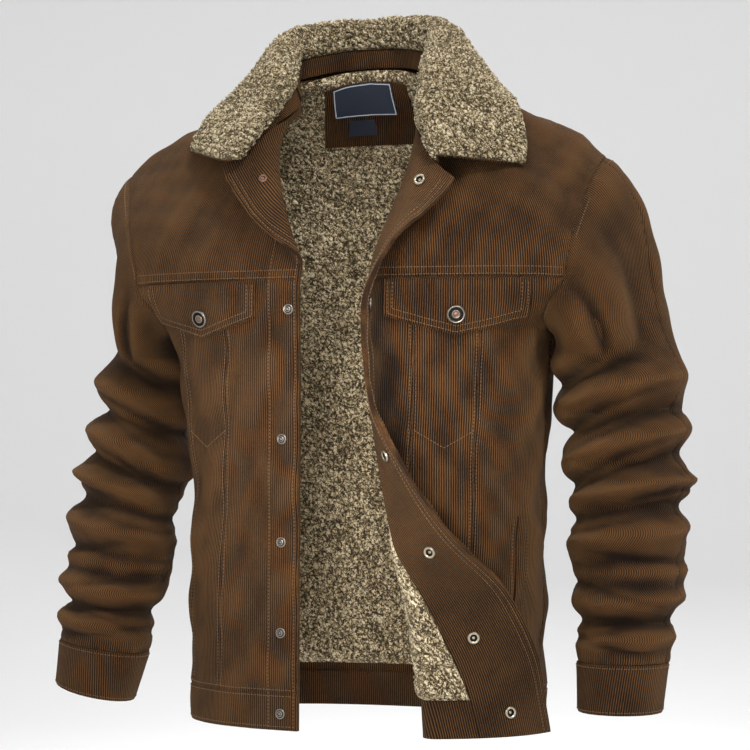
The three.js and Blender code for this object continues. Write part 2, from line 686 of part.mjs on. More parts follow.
// Folds of the sleeves: where round the arm each is deepest, its height there, half height and lean.
const SLEEVE_FOLDS = [
  { turn: 100, z: -262, height: 10, rise: -6, lean: 20 },
  { turn: 80, z: -287, height: 11, rise: 5, lean: 22 },
  { turn: 90, z: -312, height: 10, rise: -7, lean: 22 },
  { turn: 70, z: -338, height: 12, rise: 6, lean: 18 },
  { turn: 90, z: -366, height: 10, rise: -7, lean: 15 },
  { turn: 60, z: -392, height: 12, rise: 7, lean: 16 },
  { turn: 100, z: -418, height: 9, rise: -7, lean: 18 },
  { turn: 40, z: -436, height: 10, rise: 7, lean: 12 },
  { turn: 80, z: -458, height: 9, rise: -6, lean: 9 },
  { turn: 60, z: -482, height: 13, rise: 6, lean: 6 },
  { turn: 90, z: -508, height: 10, rise: -4, lean: 4 },
  { turn: 110, z: -528, height: 10, rise: -5, lean: 0 },
  { turn: 50, z: -546, height: 10, rise: 5, lean: 2 },
  { turn: 90, z: -564, height: 8, rise: -5, lean: 0 },
  { turn: 60, z: -584, height: 9, rise: 4, lean: 4 },
  { turn: 270, z: -350, height: 14, rise: 5, lean: -10 },
  { turn: 250, z: -385, height: 11, rise: -6, lean: -12 },
  { turn: 280, z: -425, height: 12, rise: 6, lean: -8 },
  { turn: 260, z: -460, height: 10, rise: -5, lean: 6 },
  { turn: 290, z: -520, height: 12, rise: 4, lean: 8 },
  { turn: 250, z: -560, height: 10, rise: -5, lean: 6 },
];

function sleeveFold(turn, z) {
  let rise = 0;
  for (const fold of SLEEVE_FOLDS) {
    const place = (z - fold.z - fold.lean * Math.cos(radians(turn))) / fold.height;
    const round = (0.5 + 0.5 * Math.cos(radians(turn - fold.turn))) ** 1.3;
    rise += fold.rise * round * Math.exp(-place * place);
  }
  return rise * smooth((z - CUFF_SEAM_Z - 2) / 14);
}

function sleeveRing(side, turn, z) {
  const value = (name) => SLEEVE[side](name, z);
  const fold = sleeveFold(turn, z);
  const outward = Math.cos(radians(turn)) * (value('wide') + fold);
  const forward = Math.sin(radians(turn)) * (value('deep') + fold);
  const tilt = radians(value('tilt'));
  return vec(
    SIGN[side] * (value('x') + outward * Math.cos(tilt)),
    value('y') - forward,
    z + outward * Math.sin(tilt),
  );
}

// The armhole seam, made of the edges of the yokes and panels that meet it.
function armhole(side, turn) {
  const round = ((turn % 360) + 360) % 360;
  if (round <= 90) return yokeBase(side, yokeWidth(side), round / 90);
  if (round <= 180) {
    const z = mix(FRONT_YOKE_Z, UNDERARM_Z, Math.sin(radians(round - 90)));
    return sectionPoint(SIGN[side] * armholeTurn(side, true, z), z);
  }
  if (round <= 270) {
    const z = mix(UNDERARM_Z, BACK_YOKE_Z, 1 - Math.sin(radians(270 - round)));
    return sectionPoint(SIGN[side] * armholeTurn(side, false, z), z);
  }
  return backYoke(SIGN[side], (360 - round) / 90);
}

const ARM_CLEARANCE = 2.4;

// The sleeve by place: 0 at the armhole, 1 at the first level ring, 2 at the cuff seam, 3 at the cuff's edge.
function sleeveSurface(side, turn, place) {
  if (place > 1) {
    const z = place < 2 ? mix(SLEEVE_START_Z, CUFF_SEAM_Z, place - 1) : CUFF_SEAM_Z - (place - 2) * CUFF_DEPTH;
    return sleeveRing(side, turn, z);
  }
  const under = 0.5 - 0.5 * Math.cos(radians(turn));
  const toMiddle = 0.4 * Math.sin(radians(turn));
  const out = vec(SIGN[side] * mix(0.86, 0.72, under), toMiddle, -mix(0.5, 0.7, under)).normalize();
  const start = armhole(side, turn).addScaledVector(out, ARM_CLEARANCE);
  const end = sleeveRing(side, turn, SLEEVE_START_Z);
  const length = start.distanceTo(end);
  const next = sleeveRing(side, turn, SLEEVE_START_Z - 2);
  const arrive = next.sub(end).normalize().multiplyScalar(length);
  return hermitePoint(clamp(place, 0, 1), start, out.multiplyScalar(length), end, arrive);
}

function sleeveUnder(side, turn, place, depth) {
  const surface = (a, b) => sleeveSurface(side, a, b);
  const edge = place < 0.01 ? 0.01 : place;
  return sleeveSurface(side, turn, place).add(
    under(surface, turn, edge, depth, SIGN[side], 1, 0.008).sub(surface(turn, edge)),
  );
}

const FRONT_SEAM_TURN = 14;
const BACK_SEAM_TURN = 188;
const SLEEVE_PLACES = [0, 0.14, 0.3, 0.46, 0.62, 0.78, 0.9, 1, ...steps(1, 2, 18).slice(1)];

function buildSleeve(side) {
  const seam = SEAM / 60 * 180 / Math.PI;
  const places = inset(SLEEVE_PLACES, 0.001);
  const halves = {
    front: [FRONT_SEAM_TURN, BACK_SEAM_TURN],
    back: [BACK_SEAM_TURN, 360 + FRONT_SEAM_TURN],
  };
  for (const [half, [from, to]] of Object.entries(halves)) {
    const turns = inset(steps(from, to, half === 'front' ? 8 : 7), seam);
    const grid = (depth) => places.map((place) => turns.map((turn) => sleeveUnder(side, turn, place, depth)));
    jacket.add(wallMesh(`sleeve_${half}_${side}`, grid(0), grid(CORD), 'corduroy'));
  }
  const cuffPlaces = inset([2, 3], 0.006);
  const turns = steps(0, 360, 16).slice(0, -1);
  const cuffGrid = (depth) => cuffPlaces.map((place) => turns.map((turn) => sleeveUnder(side, turn, place, depth)));
  jacket.add(wallMesh(`cuff_${side}`, cuffGrid(-0.8), cuffGrid(2.6), 'corduroy', { tube: true }));
}

buildSleeve('r');
buildSleeve('l');

// The collar. Place runs from 0 at the middle of the back to 1 at each front end.
const COLLAR_END_REACH = 20;
const COLLAR_COLUMNS = ['place', 'rollX', 'rollY', 'rollZ', 'edgeX', 'edgeY', 'edgeZ'];
const COLLAR = {
  r: table(COLLAR_COLUMNS, [
    [0, 6, 86, 66, 4, 122, -2],
    [0.25, 42, 79, 66, 78, 112, -8],
    [0.5, 86, 42, 50, 140, 62, -26],
    [0.625, 80, -8, 12, 156, 22, -48],
    [0.75, 70, -52, -30, 165, -4, -66],
    [0.88, 80, -80, -66, 169, -22, -74],
    [1, 97, -97, -99, 168, -36, -80],
  ]),
  l: table(COLLAR_COLUMNS, [
    [0, -6, 86, 66, -4, 122, -2],
    [0.25, 40, 79, 66, 74, 112, -8],
    [0.5, 88, 42, 50, 140, 62, -26],
    [0.625, 98, -8, 10, 168, 22, -56],
    [0.75, 98, -54, -36, 188, -10, -86],
    [0.88, 106, -76, -72, 194, -26, -98],
    [1, 120, -92, -102, 196, -38, -108],
  ]),
};

const COLLAR_BASE_LIFT = 1.6;
const COLLAR_END_LIFT = 5;
const LAPEL_FACING = vec(0, -1, 0.2).normalize();

function collarBase(side, place) {
  if (place <= 0.5) return backYoke(SIGN[side] * place / 0.5 * NECK_SHARE.back, 0);
  const s = mix(NECK_SHARE[side] * yokeWidth(side), COLLAR_END_REACH, (place - 0.5) / 0.5);
  return frontSurface(side, s, 0);
}

const STAND_SHARE = 0.4;
const STAND_LEAN = 0.3;
const ROLL_ROUND = 0.7;
const FALL_ROUND = 1.4;
const COLLAR_CLEAR = 4;

// Points and directions of the outer faces that the collar lies over.
function restingFaces() {
  const faces = [];
  for (const side of ['r', 'l']) {
    for (const level of steps(0.01, 0.7, 22)) {
      for (const s of steps(2, yokeWidth(side) - 2, 40)) {
        const point = frontUnder(side, s, level, 0);
        const folded = s < FRONT_HANG[side]('foldAt', point.z);
        const depth = folded ? CORD + LAYER_GAP + CORD : 0;
        const inner = frontUnder(side, s, level, depth);
        const normal = point.clone().sub(frontUnder(side, s, level, 1)).multiplyScalar(folded ? -1 : 1);
        faces.push({ point: inner, normal });
      }
    }
  }
  for (const level of steps(0.01, 0.9, 22)) {
    for (const across of steps(-0.98, 0.98, 60)) {
      const point = backUnder(across, level, 0);
      faces.push({ point, normal: point.clone().sub(backUnder(across, level, 1)) });
    }
  }
  return faces;
}

const FACES_UNDER_COLLAR = restingFaces();
const COLLAR_REACH_OVER = 34;

// Moves a point of the collar out until it clears the cloth below it.
function liftClear(point, clear) {
  const lifted = point.clone();
  for (let pass = 0; pass < 2; pass++) {
    let nearest = null;
    let least = COLLAR_REACH_OVER;
    for (const face of FACES_UNDER_COLLAR) {
      const distance = face.point.distanceTo(lifted);
      if (distance < least) {
        least = distance;
        nearest = face;
      }
    }
    if (!nearest) return lifted;
    const above = lifted.clone().sub(nearest.point).dot(nearest.normal);
    if (above < clear) lifted.addScaledVector(nearest.normal, clear - above);
  }
  return lifted;
}

// Round is signed: negative towards the right front end. Height runs from 0 at the neck seam to 1 at the edge.
function collarSurface(round, height) {
  const side = round < 0 ? 'r' : 'l';
  const place = Math.min(Math.abs(round), 1);
  const value = (name) => COLLAR[side](name, place);
  const roll = vec(SIGN[side] * value('rollX'), value('rollY'), value('rollZ'));
  const edge = liftClear(vec(SIGN[side] * value('edgeX'), value('edgeY'), value('edgeZ')), COLLAR_CLEAR);
  const base = collarBase(side, place);
  const out = edge.clone().sub(base).setZ(0).normalize();
  base.addScaledVector(roll.clone().sub(base).normalize(), COLLAR_BASE_LIFT);
  base.addScaledVector(LAPEL_FACING, COLLAR_END_LIFT * smooth((place - 0.7) / 0.2));
  if (height < STAND_SHARE) {
    const length = roll.distanceTo(base);
    const up = roll.clone().sub(base).addScaledVector(out, -length * STAND_LEAN).normalize().multiplyScalar(length);
    return hermitePoint(height / STAND_SHARE, base, up, roll, out.clone().multiplyScalar(length * ROLL_ROUND));
  }
  const length = edge.distanceTo(roll);
  const fall = edge.clone().sub(roll).normalize();
  const leave = out.clone().multiplyScalar(length * ROLL_ROUND * FALL_ROUND * STAND_SHARE / (1 - STAND_SHARE));
  const t = (height - STAND_SHARE) / (1 - STAND_SHARE);
  return hermitePoint(t, roll, leave, edge, fall.multiplyScalar(length));
}

function collarUnder(round, height, depth) {
  const inside = clamp(height, 0.012, 0.988);
  return collarSurface(round, height).add(
    under(collarSurface, clamp(round, -0.985, 0.985), inside, depth, 1, 0.012, 0.01)
      .sub(collarSurface(clamp(round, -0.985, 0.985), inside)),
  );
}

const STAND_TOP = 0.13;
const STAND_REACH = 0.62;
const COLLAR_HEIGHTS = [STAND_TOP, 0.26, 0.38, 0.48, 0.62, 0.8, 1];

function collarPiece(name, rounds, heights, from, to, colour) {
  const grid = (depth) => heights.map((height) => rounds.map((round) => collarUnder(round, height, depth)));
  jacket.add(wallMesh(name, grid(from), grid(to), colour));
}

function buildCollar() {
  const rounds = steps(-1, 1, 26);
  const half = GAP / 2;
  collarPiece('collar_top', rounds, inset(COLLAR_HEIGHTS, 0.004), -half, -COLLAR_PILE, 'sherpa');
  collarPiece('collar_under', rounds, inset([0, ...COLLAR_HEIGHTS], 0.004), half, CORD, 'corduroy');
  const inner = rounds.filter((round) => Math.abs(round) < STAND_REACH);
  collarPiece('neck_stand', inner, inset([0, STAND_TOP], 0.006), -half, -CORD, 'corduroy');
}

buildCollar();

// Press studs down the fronts. The reach is the distance from the front edge to the middle of the snap.
const SNAP_ROWS = {
  r: [
    { z: -121, reach: 29 },
    { z: -252, reach: 11 },
    { z: -384, reach: 19 },
    { z: -489, reach: 19 },
    { z: -581, reach: 19 },
    { z: -664, reach: 19 },
  ],
  l: [
    { z: -130, reach: 28 },
    { z: -247, reach: 24 },
    { z: -398, reach: 19 },
    { z: -492, reach: 34 },
    { z: -578, reach: 46 },
    { z: -656, reach: 40 },
  ],
};
const SNAP = {
  stud: { radius: 5.2, top: 4.4, height: 2.4 },
  post: { radius: 4.6, top: 4, height: 1.2 },
  socket: { radius: 6.2, top: 5.4, height: 2.6 },
  cap: { radius: 7, top: 6, height: 1.8 },
  flap: { radius: 9.2, top: 7.8, height: 2.4 },
};
const SNAP_GAP = 0.4;
const SNAP_SIDES = 8;

// A low cone on the cloth, standing along the direction in which the cloth faces.
function snapMesh(name, kind, seat, facing) {
  const { radius, top, height } = SNAP[kind];
  const side = vec(0, 0, 1).cross(facing).normalize();
  const up = facing.clone().cross(side).normalize();
  const positions = [];
  for (const [size, lift] of [[radius, 0], [top, height]]) {
    for (const angle of steps(0, 2 * Math.PI, SNAP_SIDES).slice(0, -1)) {
      const point = seat.clone().addScaledVector(facing, lift);
      point.addScaledVector(side, size * Math.cos(angle)).addScaledVector(up, size * Math.sin(angle));
      positions.push(point.x, point.y, point.z);
    }
  }
  const faces = [];
  for (let i = 0; i < SNAP_SIDES; i++) {
    const next = (i + 1) % SNAP_SIDES;
    faces.push(i, next, SNAP_SIDES + next, i, SNAP_SIDES + next, SNAP_SIDES + i);
  }
  for (let i = 1; i < SNAP_SIDES - 1; i++) {
    faces.push(0, i + 1, i);
    faces.push(SNAP_SIDES, SNAP_SIDES + i, SNAP_SIDES + i + 1);
  }
  jacket.add(meshOf(name, positions, faces, 'metal'));
}

// The level at which a front reaches a height, at some distance from its edge.
function levelAt(side, reach, z) {
  if (z <= FRONT_YOKE_Z) return levelOf(z);
  let low = 0;
  let high = 1;
  for (let i = 0; i < 20; i++) {
    const middle = (low + high) / 2;
    if (frontSurface(side, reach, middle).z > z) low = middle;
    else high = middle;
  }
  return low;
}

// Seats a snap on the outer or the inner face of a front, clear of the highest cloth under its rim.
function seatSnap(name, kind, side, reach, level, depth, outward) {
  const { radius } = SNAP[kind];
  const at = (a, b) => onFrontFacets(side, a, b, depth);
  const middle = at(reach, level);
  const perLevel = at(reach, level + 0.01).distanceTo(middle) / 0.01;
  const reachIn = radius / perLevel;
  const across = at(reach + radius, level).sub(at(reach - radius, level));
  const down = at(reach, level + reachIn).sub(at(reach, level - reachIn));
  const facing = across.cross(down).normalize().multiplyScalar(-SIGN[side] * outward);
  let rise = 0;
  for (const share of [0.5, 1]) {
    for (const angle of steps(0, 2 * Math.PI, 2 * SNAP_SIDES)) {
      const rim = at(reach + share * radius * Math.cos(angle), level + share * reachIn * Math.sin(angle));
      rise = Math.max(rise, rim.sub(middle).dot(facing));
    }
  }
  snapMesh(name, kind, middle.addScaledVector(facing, rise + SNAP_GAP), facing);
}

const OUTER_KIND = { r: ['snap_stud', 'stud'], l: ['snap_cap', 'cap'] };
const INNER_KIND = { r: ['snap_post', 'post'], l: ['snap_socket', 'socket'] };
const FLAP_SNAP_DROP = 36;

function buildSnaps(side) {
  SNAP_ROWS[side].forEach(({ z, reach }, i) => {
    const level = levelAt(side, reach, z);
    const [outerName, outerKind] = OUTER_KIND[side];
    const [innerName, innerKind] = INNER_KIND[side];
    const inner = z > BAND_Z ? CORD + LAYER_GAP + CORD : BAND_WALL;
    seatSnap(`${outerName}_${i + 1}`, outerKind, side, reach, level, 0, 1);
    seatSnap(`${innerName}_${i + 1}`, innerKind, side, reach, level, inner, -1);
  });
  const reach = FLAP_START[side] + FLAP_WIDTH[side] / 2;
  const level = levelOf(FRONT_YOKE_Z - FLAP_SNAP_DROP);
  seatSnap(`flap_snap_${side}`, 'flap', side, reach, level, -FLAP_LIFT - FLAP_WALL, 1);
}

buildSnaps('r');
buildSnaps('l');

export default jacket;
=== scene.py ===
# %% [markdown]
# # A corduroy trucker jacket with a sherpa collar and lining
# The jacket is filled out as if worn and hangs open, with nobody in it. Each cloth of the real one was
# cut flat and sewn, so each is rebuilt here as a thin closed shell on a named surface of the jacket.
# A cloth simulation could find folds by itself, but surfaces written as functions let every main fold be
# placed where it belongs, and they give the same result each time.

# %% Load the frame
import math
from functools import partial
import bpy
import numpy as np
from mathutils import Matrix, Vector


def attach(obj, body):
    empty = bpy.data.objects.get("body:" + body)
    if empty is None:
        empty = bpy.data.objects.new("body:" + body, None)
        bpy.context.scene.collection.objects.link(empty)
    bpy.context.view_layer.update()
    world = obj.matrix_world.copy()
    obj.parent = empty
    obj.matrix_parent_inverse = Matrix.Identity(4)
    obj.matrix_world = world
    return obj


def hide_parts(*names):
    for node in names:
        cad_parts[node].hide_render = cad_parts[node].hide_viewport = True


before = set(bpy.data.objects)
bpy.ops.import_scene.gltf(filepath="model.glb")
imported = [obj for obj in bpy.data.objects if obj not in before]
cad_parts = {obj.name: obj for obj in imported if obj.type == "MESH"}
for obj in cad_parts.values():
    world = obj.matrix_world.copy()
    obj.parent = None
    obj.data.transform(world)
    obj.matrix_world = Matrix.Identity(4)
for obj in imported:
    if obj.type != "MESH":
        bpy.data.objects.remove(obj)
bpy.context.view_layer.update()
print("CAD nodes:", len(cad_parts))

# %% [markdown]
# The surfaces run between a few measured rows. A Hermite curve passes through the rows smoothly, which is
# how a pattern maker draws a seam through its marks. All measures are in millimetres until a mesh is made.

# %% Curves through rows of measures
MM = 0.001


def hermite(t, start, leave, end, arrive):
    t2 = t * t
    t3 = t2 * t
    from_start = 2 * t3 - 3 * t2 + 1
    leaving = t3 - 2 * t2 + t
    to_end = 3 * t2 - 2 * t3
    arriving = t3 - t2
    return from_start * start + leaving * leave + to_end * end + arriving * arrive


def table(columns, rows):
    data = np.array(rows, float)
    if data[1, 0] < data[0, 0]:
        data = data[::-1]
    keys = data[:, 0]
    before = np.maximum(np.arange(len(keys)) - 1, 0)
    after = np.minimum(np.arange(len(keys)) + 1, len(keys) - 1)
    slopes = (data[after] - data[before]) / (keys[after] - keys[before])[:, None]
    names = columns.split()

    def value(name, key):
        column = names.index(name)
        i = np.clip(np.searchsorted(keys, key, side="right") - 1, 0, len(keys) - 2)
        reach = keys[i + 1] - keys[i]
        t = np.clip((key - keys[i]) / reach, 0, 1)
        leave = slopes[i, column] * reach
        arrive = slopes[i + 1, column] * reach
        return hermite(t, data[i, column], leave, data[i + 1, column], arrive)

    return value


def mix(a, b, t):
    return a + (b - a) * t


def smooth(t):
    t = np.clip(t, 0, 1)
    return t * t * (3 - 2 * t)


def points(x, y, z):
    return np.stack(np.broadcast_arrays(x, y, z), axis=-1).astype(float)


def unit(vectors):
    return vectors / np.maximum(np.linalg.norm(vectors, axis=-1, keepdims=True), 1e-9)


print("a level curve from 0 to 10 is halfway at", hermite(0.5, 0, 0, 10, 0))

# %% [markdown]
# The body is a pile of level rings. A superellipse, between an ellipse and a rounded box, is the shape of
# a chest under a stiff cloth. The folds are soft troughs and ridges at named places round the body.

# %% Body
HEM_Z = -680
BAND_Z = -642
FRONT_YOKE_Z = -222
BACK_YOKE_Z = -165
UNDERARM_Z = -272
SLEEVE_START_Z = -300
CUFF_SEAM_Z = -606
CUFF_DEPTH = 50
FACING_WIDTH = 72
CORD = 2.2
SHERPA = 6
LAYER_GAP = 0.9
BAND_WALL = 4.2
MIDDLE_X = 4
MIDDLE_Y = 38

SECTION = table("z frontHalf backHalf frontDepth backDepth frontSquare backSquare", [
    [-150, 270, 252, 126, 110, 3.0, 3.0],
    [-222, 258, 244, 123, 114, 3.0, 2.8],
    [-248, 232, 226, 122, 115, 2.8, 2.6],
    [-272, 208, 208, 121, 116, 2.6, 2.5],
    [-330, 200, 200, 120, 116, 2.4, 2.4],
    [-450, 191, 191, 120, 116, 2.35, 2.35],
    [-560, 189, 189, 120, 116, 2.35, 2.35],
    [-680, 191, 191, 120, 117, 2.35, 2.35],
])

# Folds by place round the body, height, reach round, half height, rise and lean.
BODY_FOLDS = [
    (-62, -430, 26, 46, -4.0, 0.5),
    (-48, -560, 22, 60, 3.0, -0.4),
    (66, -400, 24, 44, -4.0, -0.5),
    (74, -540, 22, 60, 3.0, 0.5),
    (140, -330, 30, 50, -5.0, 0.8),
    (-140, -350, 30, 50, -5.0, -0.8),
    (168, -520, 26, 70, 4.0, 0.3),
    (-122, -560, 24, 60, 4.0, -0.3),
    (120, -590, 22, 50, -4.0, 0.4),
]


def body_fold(turn, z):
    rise = 0
    for at_turn, at_z, reach, height, amount, lean in BODY_FOLDS:
        across = ((turn - at_turn + 540) % 360 - 180) / reach
        along = (z - at_z - lean * across * height) / height
        rise = rise + amount * np.exp(-across * across - along * along)
    return rise * smooth((UNDERARM_Z + 30 - z) / 60) * smooth((z - BAND_Z + 20) / 60)


def section_point(turn, z):
    turn, z = np.broadcast_arrays(np.asarray(turn, float), np.asarray(z, float))
    angle = np.radians(turn)
    front = np.cos(angle) >= 0

    def value(kind):
        return np.where(front, SECTION("front" + kind, z), SECTION("back" + kind, z))

    fold = body_fold(turn, z)
    power = 2 / value("Square")
    across = np.sign(np.sin(angle)) * np.abs(np.sin(angle)) ** power
    along = np.sign(np.cos(angle)) * np.abs(np.cos(angle)) ** power
    shift = MIDDLE_X * smooth((UNDERARM_Z - z) / 120)
    return points(shift + (value("Half") + fold) * across, MIDDLE_Y - (value("Depth") + fold) * along, z)


print("the body is %.0f mm wide under the arms" % (2 * SECTION("frontHalf", UNDERARM_Z)))

# %% [markdown]
# Each front is unrolled: a place on it is the distance from its edge, measured round the body. The
# lengths of every ring are kept in a grid, so that a whole cloth is looked up at once.

# %% Fronts as they would lie closed
FRONT_COLUMNS = "z edgeX foldAt turn radius lean"
FRONT_HANG = {
    "r": table(FRONT_COLUMNS, [
        [-60, 6, 54, 168, 8, 8],
        [-100, 2, 46, 168, 8, 8],
        [-150, -10, 28, 165, 8, 8],
        [-190, -22, 8, 158, 8, 4],
        [-222, -28, -14, 150, 8, 0],
        [-250, -29, -30, 150, 8, 0],
        [-300, -29, -30, 150, 8, 0],
        [-680, -31, -30, 150, 8, 0],
    ]),
    "l": table(FRONT_COLUMNS, [
        [-60, 22, 70, 166, 9, 16],
        [-100, 20, 65, 166, 10, 16],
        [-140, 16, 57, 156, 12, 12],
        [-192, 11, 50, 126, 15, 5],
        [-248, 8, 49, 98, 20, 0],
        [-345, 3, 55, 100, 20, 0],
        [-395, -1, 62, 116, 18, 0],
        [-476, -5, 76, 140, 16, 0],
        [-529, -9, 91, 160, 14, 0],
        [-584, -14, 104, 172, 12, 0],
        [-640, -22, 118, 180, 10, 0],
        [-680, -26, 124, 180, 10, 0],
    ]),
}
SIGN = {"r": -1, "l": 1}
RING_STEP = 2.0
RING_Z = np.arange(FRONT_YOKE_Z + 4, HEM_Z - 8, -RING_STEP)
TURN_STEP = 0.5
TURNS = np.arange(-90, 90 + TURN_STEP, TURN_STEP)
RINGS = section_point(TURNS[None, :], RING_Z[:, None])
RING_LENGTHS = np.cumsum(np.linalg.norm(np.diff(RINGS, axis=1), axis=-1), axis=1)
RING_LENGTHS = np.concatenate([np.zeros((len(RING_Z), 1)), RING_LENGTHS], axis=1)
REACH_STEPS = np.arange(0, RING_LENGTHS.max() + RING_STEP, RING_STEP)
RING_TURNS = np.array([np.interp(REACH_STEPS, lengths, TURNS) for lengths in RING_LENGTHS])
RING_EDGES = {
    side: np.array([
        np.interp(float(FRONT_HANG[side]("edgeX", z)), ring[:, 0], lengths)
        for z, ring, lengths in zip(RING_Z, RINGS, RING_LENGTHS)
    ])
    for side in SIGN
}


def between(grid, row, column):
    i = np.clip(np.floor(row).astype(int), 0, grid.shape[0] - 2)
    j = np.clip(np.floor(column).astype(int), 0, grid.shape[1] - 2)
    a = np.clip(row - i, 0, 1)
    b = np.clip(column - j, 0, 1)
    return mix(mix(grid[i, j], grid[i, j + 1], b), mix(grid[i + 1, j], grid[i + 1, j + 1], b), a)


def ring_edge(side, z):
    return np.interp((RING_Z[0] - z) / RING_STEP, np.arange(len(RING_Z)), RING_EDGES[side])


def body_base(side, s, z):
    s, z = np.broadcast_arrays(np.asarray(s, float), np.asarray(z, float))
    length = ring_edge(side, z) + SIGN[side] * s
    turn = between(RING_TURNS, (RING_Z[0] - z) / RING_STEP, length / RING_STEP)
    return section_point(turn, z)


def front_reach(side, turn, z):
    turn, z = np.broadcast_arrays(np.asarray(turn, float), np.asarray(z, float))
    column = (SIGN[side] * turn + 90) / TURN_STEP
    length = between(RING_LENGTHS, (RING_Z[0] - z) / RING_STEP, column)
    return SIGN[side] * (length - ring_edge(side, z))


print("ring length at the hem: %.0f mm" % RING_LENGTHS[-1, -1])

# %% [markdown]
# The yokes are the cloths over the shoulders. Each hangs between a top edge, made of the neckline and the
# shoulder seam, and its straight lower seam.

# %% Yokes
ARMHOLE_FRONT_TURN = {"r": 53, "l": 61}
ARMHOLE_BACK_TURN = 107


def armhole_turn(side, front, z):
    top = FRONT_YOKE_Z if front else BACK_YOKE_Z
    rise = np.clip((z - UNDERARM_Z) / (top - UNDERARM_Z), 0, 1)
    return mix(90, ARMHOLE_FRONT_TURN[side] if front else ARMHOLE_BACK_TURN, np.sqrt(1 - (1 - rise) ** 2))


SHOULDER = table("along x y z", [
    [0, 74, 38, 0],
    [0.27, 126, 37, -22],
    [0.60, 190, 36, -49],
    [0.84, 238, 37, -72],
    [1, 264, 39, -94],
])
NECK_COLUMNS = "along x y z out away down"
NECKLINE = {
    "r": table(NECK_COLUMNS, [
        [0, -12, -86, -100, 0, 0.15, 1],
        [0.3, 14, -74, -88, 0.3, 0.2, 0.9],
        [0.6, 38, -48, -66, 0.65, 0.25, 0.65],
        [0.8, 54, -8, -32, 0.7, 0.5, 0.3],
        [1, 74, 38, 0, 0.55, 1, 0.23],
    ]),
    "l": table(NECK_COLUMNS, [
        [0, 20, -86, -96, 0, 0.15, 1],
        [0.3, 44, -72, -86, 0.3, 0.2, 0.9],
        [0.6, 62, -42, -62, 0.65, 0.25, 0.65],
        [0.8, 69, -4, -32, 0.7, 0.5, 0.3],
        [1, 74, 38, 0, 0.55, 1, 0.23],
    ]),
    "back": table(NECK_COLUMNS, [
        [0, 0, 74, 15, 0, 0.1, 1],
        [0.5, 38, 68, 12, 0.1, 0.35, 0.9],
        [1, 74, 38, 0, 0.55, 1, 0.23],
    ]),
}
NECK_SHARE = {"r": 0.4, "l": 0.4, "back": 0.3}
LEAVE_LENGTH = 0.75

# A point this far below an edge shows which way a surface runs there.
STEP_DOWN = 2
HALVINGS = 16
SHOULDER_SPREAD = 0.6
MIRROR = {-1: np.array([-1.0, 1, 1]), 1: np.array([1.0, 1, 1])}


def shoulder_point(along):
    return points(SHOULDER("x", along), SHOULDER("y", along), SHOULDER("z", along))


def top_edge(part, share):
    away = 1 if part == "back" else -1
    neck = NECK_SHARE[part]
    at = np.clip(share / neck, 0, 1)
    value = {name: NECKLINE[part](name, at) for name in NECK_COLUMNS.split()[1:]}
    neck_start = points(value["x"], value["y"], value["z"])
    neck_leave = unit(points(value["out"], away * value["away"], -value["down"]))
    along = np.clip((share - neck) / (1 - neck), 0, 1)
    run = unit(shoulder_point(np.minimum(along + 0.02, 1)) - shoulder_point(np.maximum(along - 0.02, 0)))
    spread = SHOULDER_SPREAD * (1 - smooth(along / 0.3))
    leave = unit(points(0, away, 0 * along) + run * spread[..., None])
    on_neck = (share < neck)[..., None]
    return np.where(on_neck, neck_start, shoulder_point(along)), np.where(on_neck, neck_leave, leave)


def yoke_frame(part, share, sign, end, below):
    start, leave = top_edge(part, share)
    start = start * MIRROR[sign]
    length = np.linalg.norm(end - start, axis=-1, keepdims=True)
    return start, leave * MIRROR[sign] * length * LEAVE_LENGTH, end, unit(below - end) * length


def yoke_width(side):
    return float(front_reach(side, ARMHOLE_FRONT_TURN[side], FRONT_YOKE_Z))


def front_yoke_frame(side, s):
    end = body_base(side, s, FRONT_YOKE_Z)
    below = body_base(side, s, FRONT_YOKE_Z - STEP_DOWN)
    return yoke_frame(side, s / yoke_width(side), SIGN[side], end, below)


def yoke_base(side, s, drop):
    s, drop = np.broadcast_arrays(np.asarray(s, float), np.asarray(drop, float))
    return hermite(drop[..., None], *front_yoke_frame(side, s))


def flat_front(side, s, z):
    s, z = np.broadcast_arrays(np.asarray(s, float), np.asarray(z, float))
    ends = front_yoke_frame(side, s)
    heights = [end[..., 2] for end in ends]
    low = np.zeros(z.shape)
    high = np.ones(z.shape)
    for _ in range(HALVINGS):
        middle = (low + high) / 2
        above = hermite(middle, *heights) > z
        low = np.where(above, middle, low)
        high = np.where(above, high, middle)
    on_yoke = hermite(((low + high) / 2)[..., None], *ends)
    return np.where((z > FRONT_YOKE_Z)[..., None], on_yoke, body_base(side, s, np.minimum(z, FRONT_YOKE_Z)))


print("front yoke widths: %.0f mm right, %.0f mm left" % (yoke_width("r"), yoke_width("l")))

# %% [markdown]
# A front that hangs open leaves the body at its fold, turns outward round a soft bend, and lies back as a
# lapel or a turned facing. The fold table says where it starts, how far it turns and how tightly.

# %% Fronts as they hang
NUDGE = 1.5


def flat_normal(side, s, z):
    across = flat_front(side, s + NUDGE, z) - flat_front(side, s - NUDGE, z)
    down = flat_front(side, s, z - NUDGE) - flat_front(side, s, z + NUDGE)
    return unit(np.cross(across, down) * -SIGN[side])


def row_height(level):
    return mix(FRONT_YOKE_Z, HEM_Z, level - 1)


def level_of(z):
    return 1 + (z - FRONT_YOKE_Z) / (HEM_Z - FRONT_YOKE_Z)


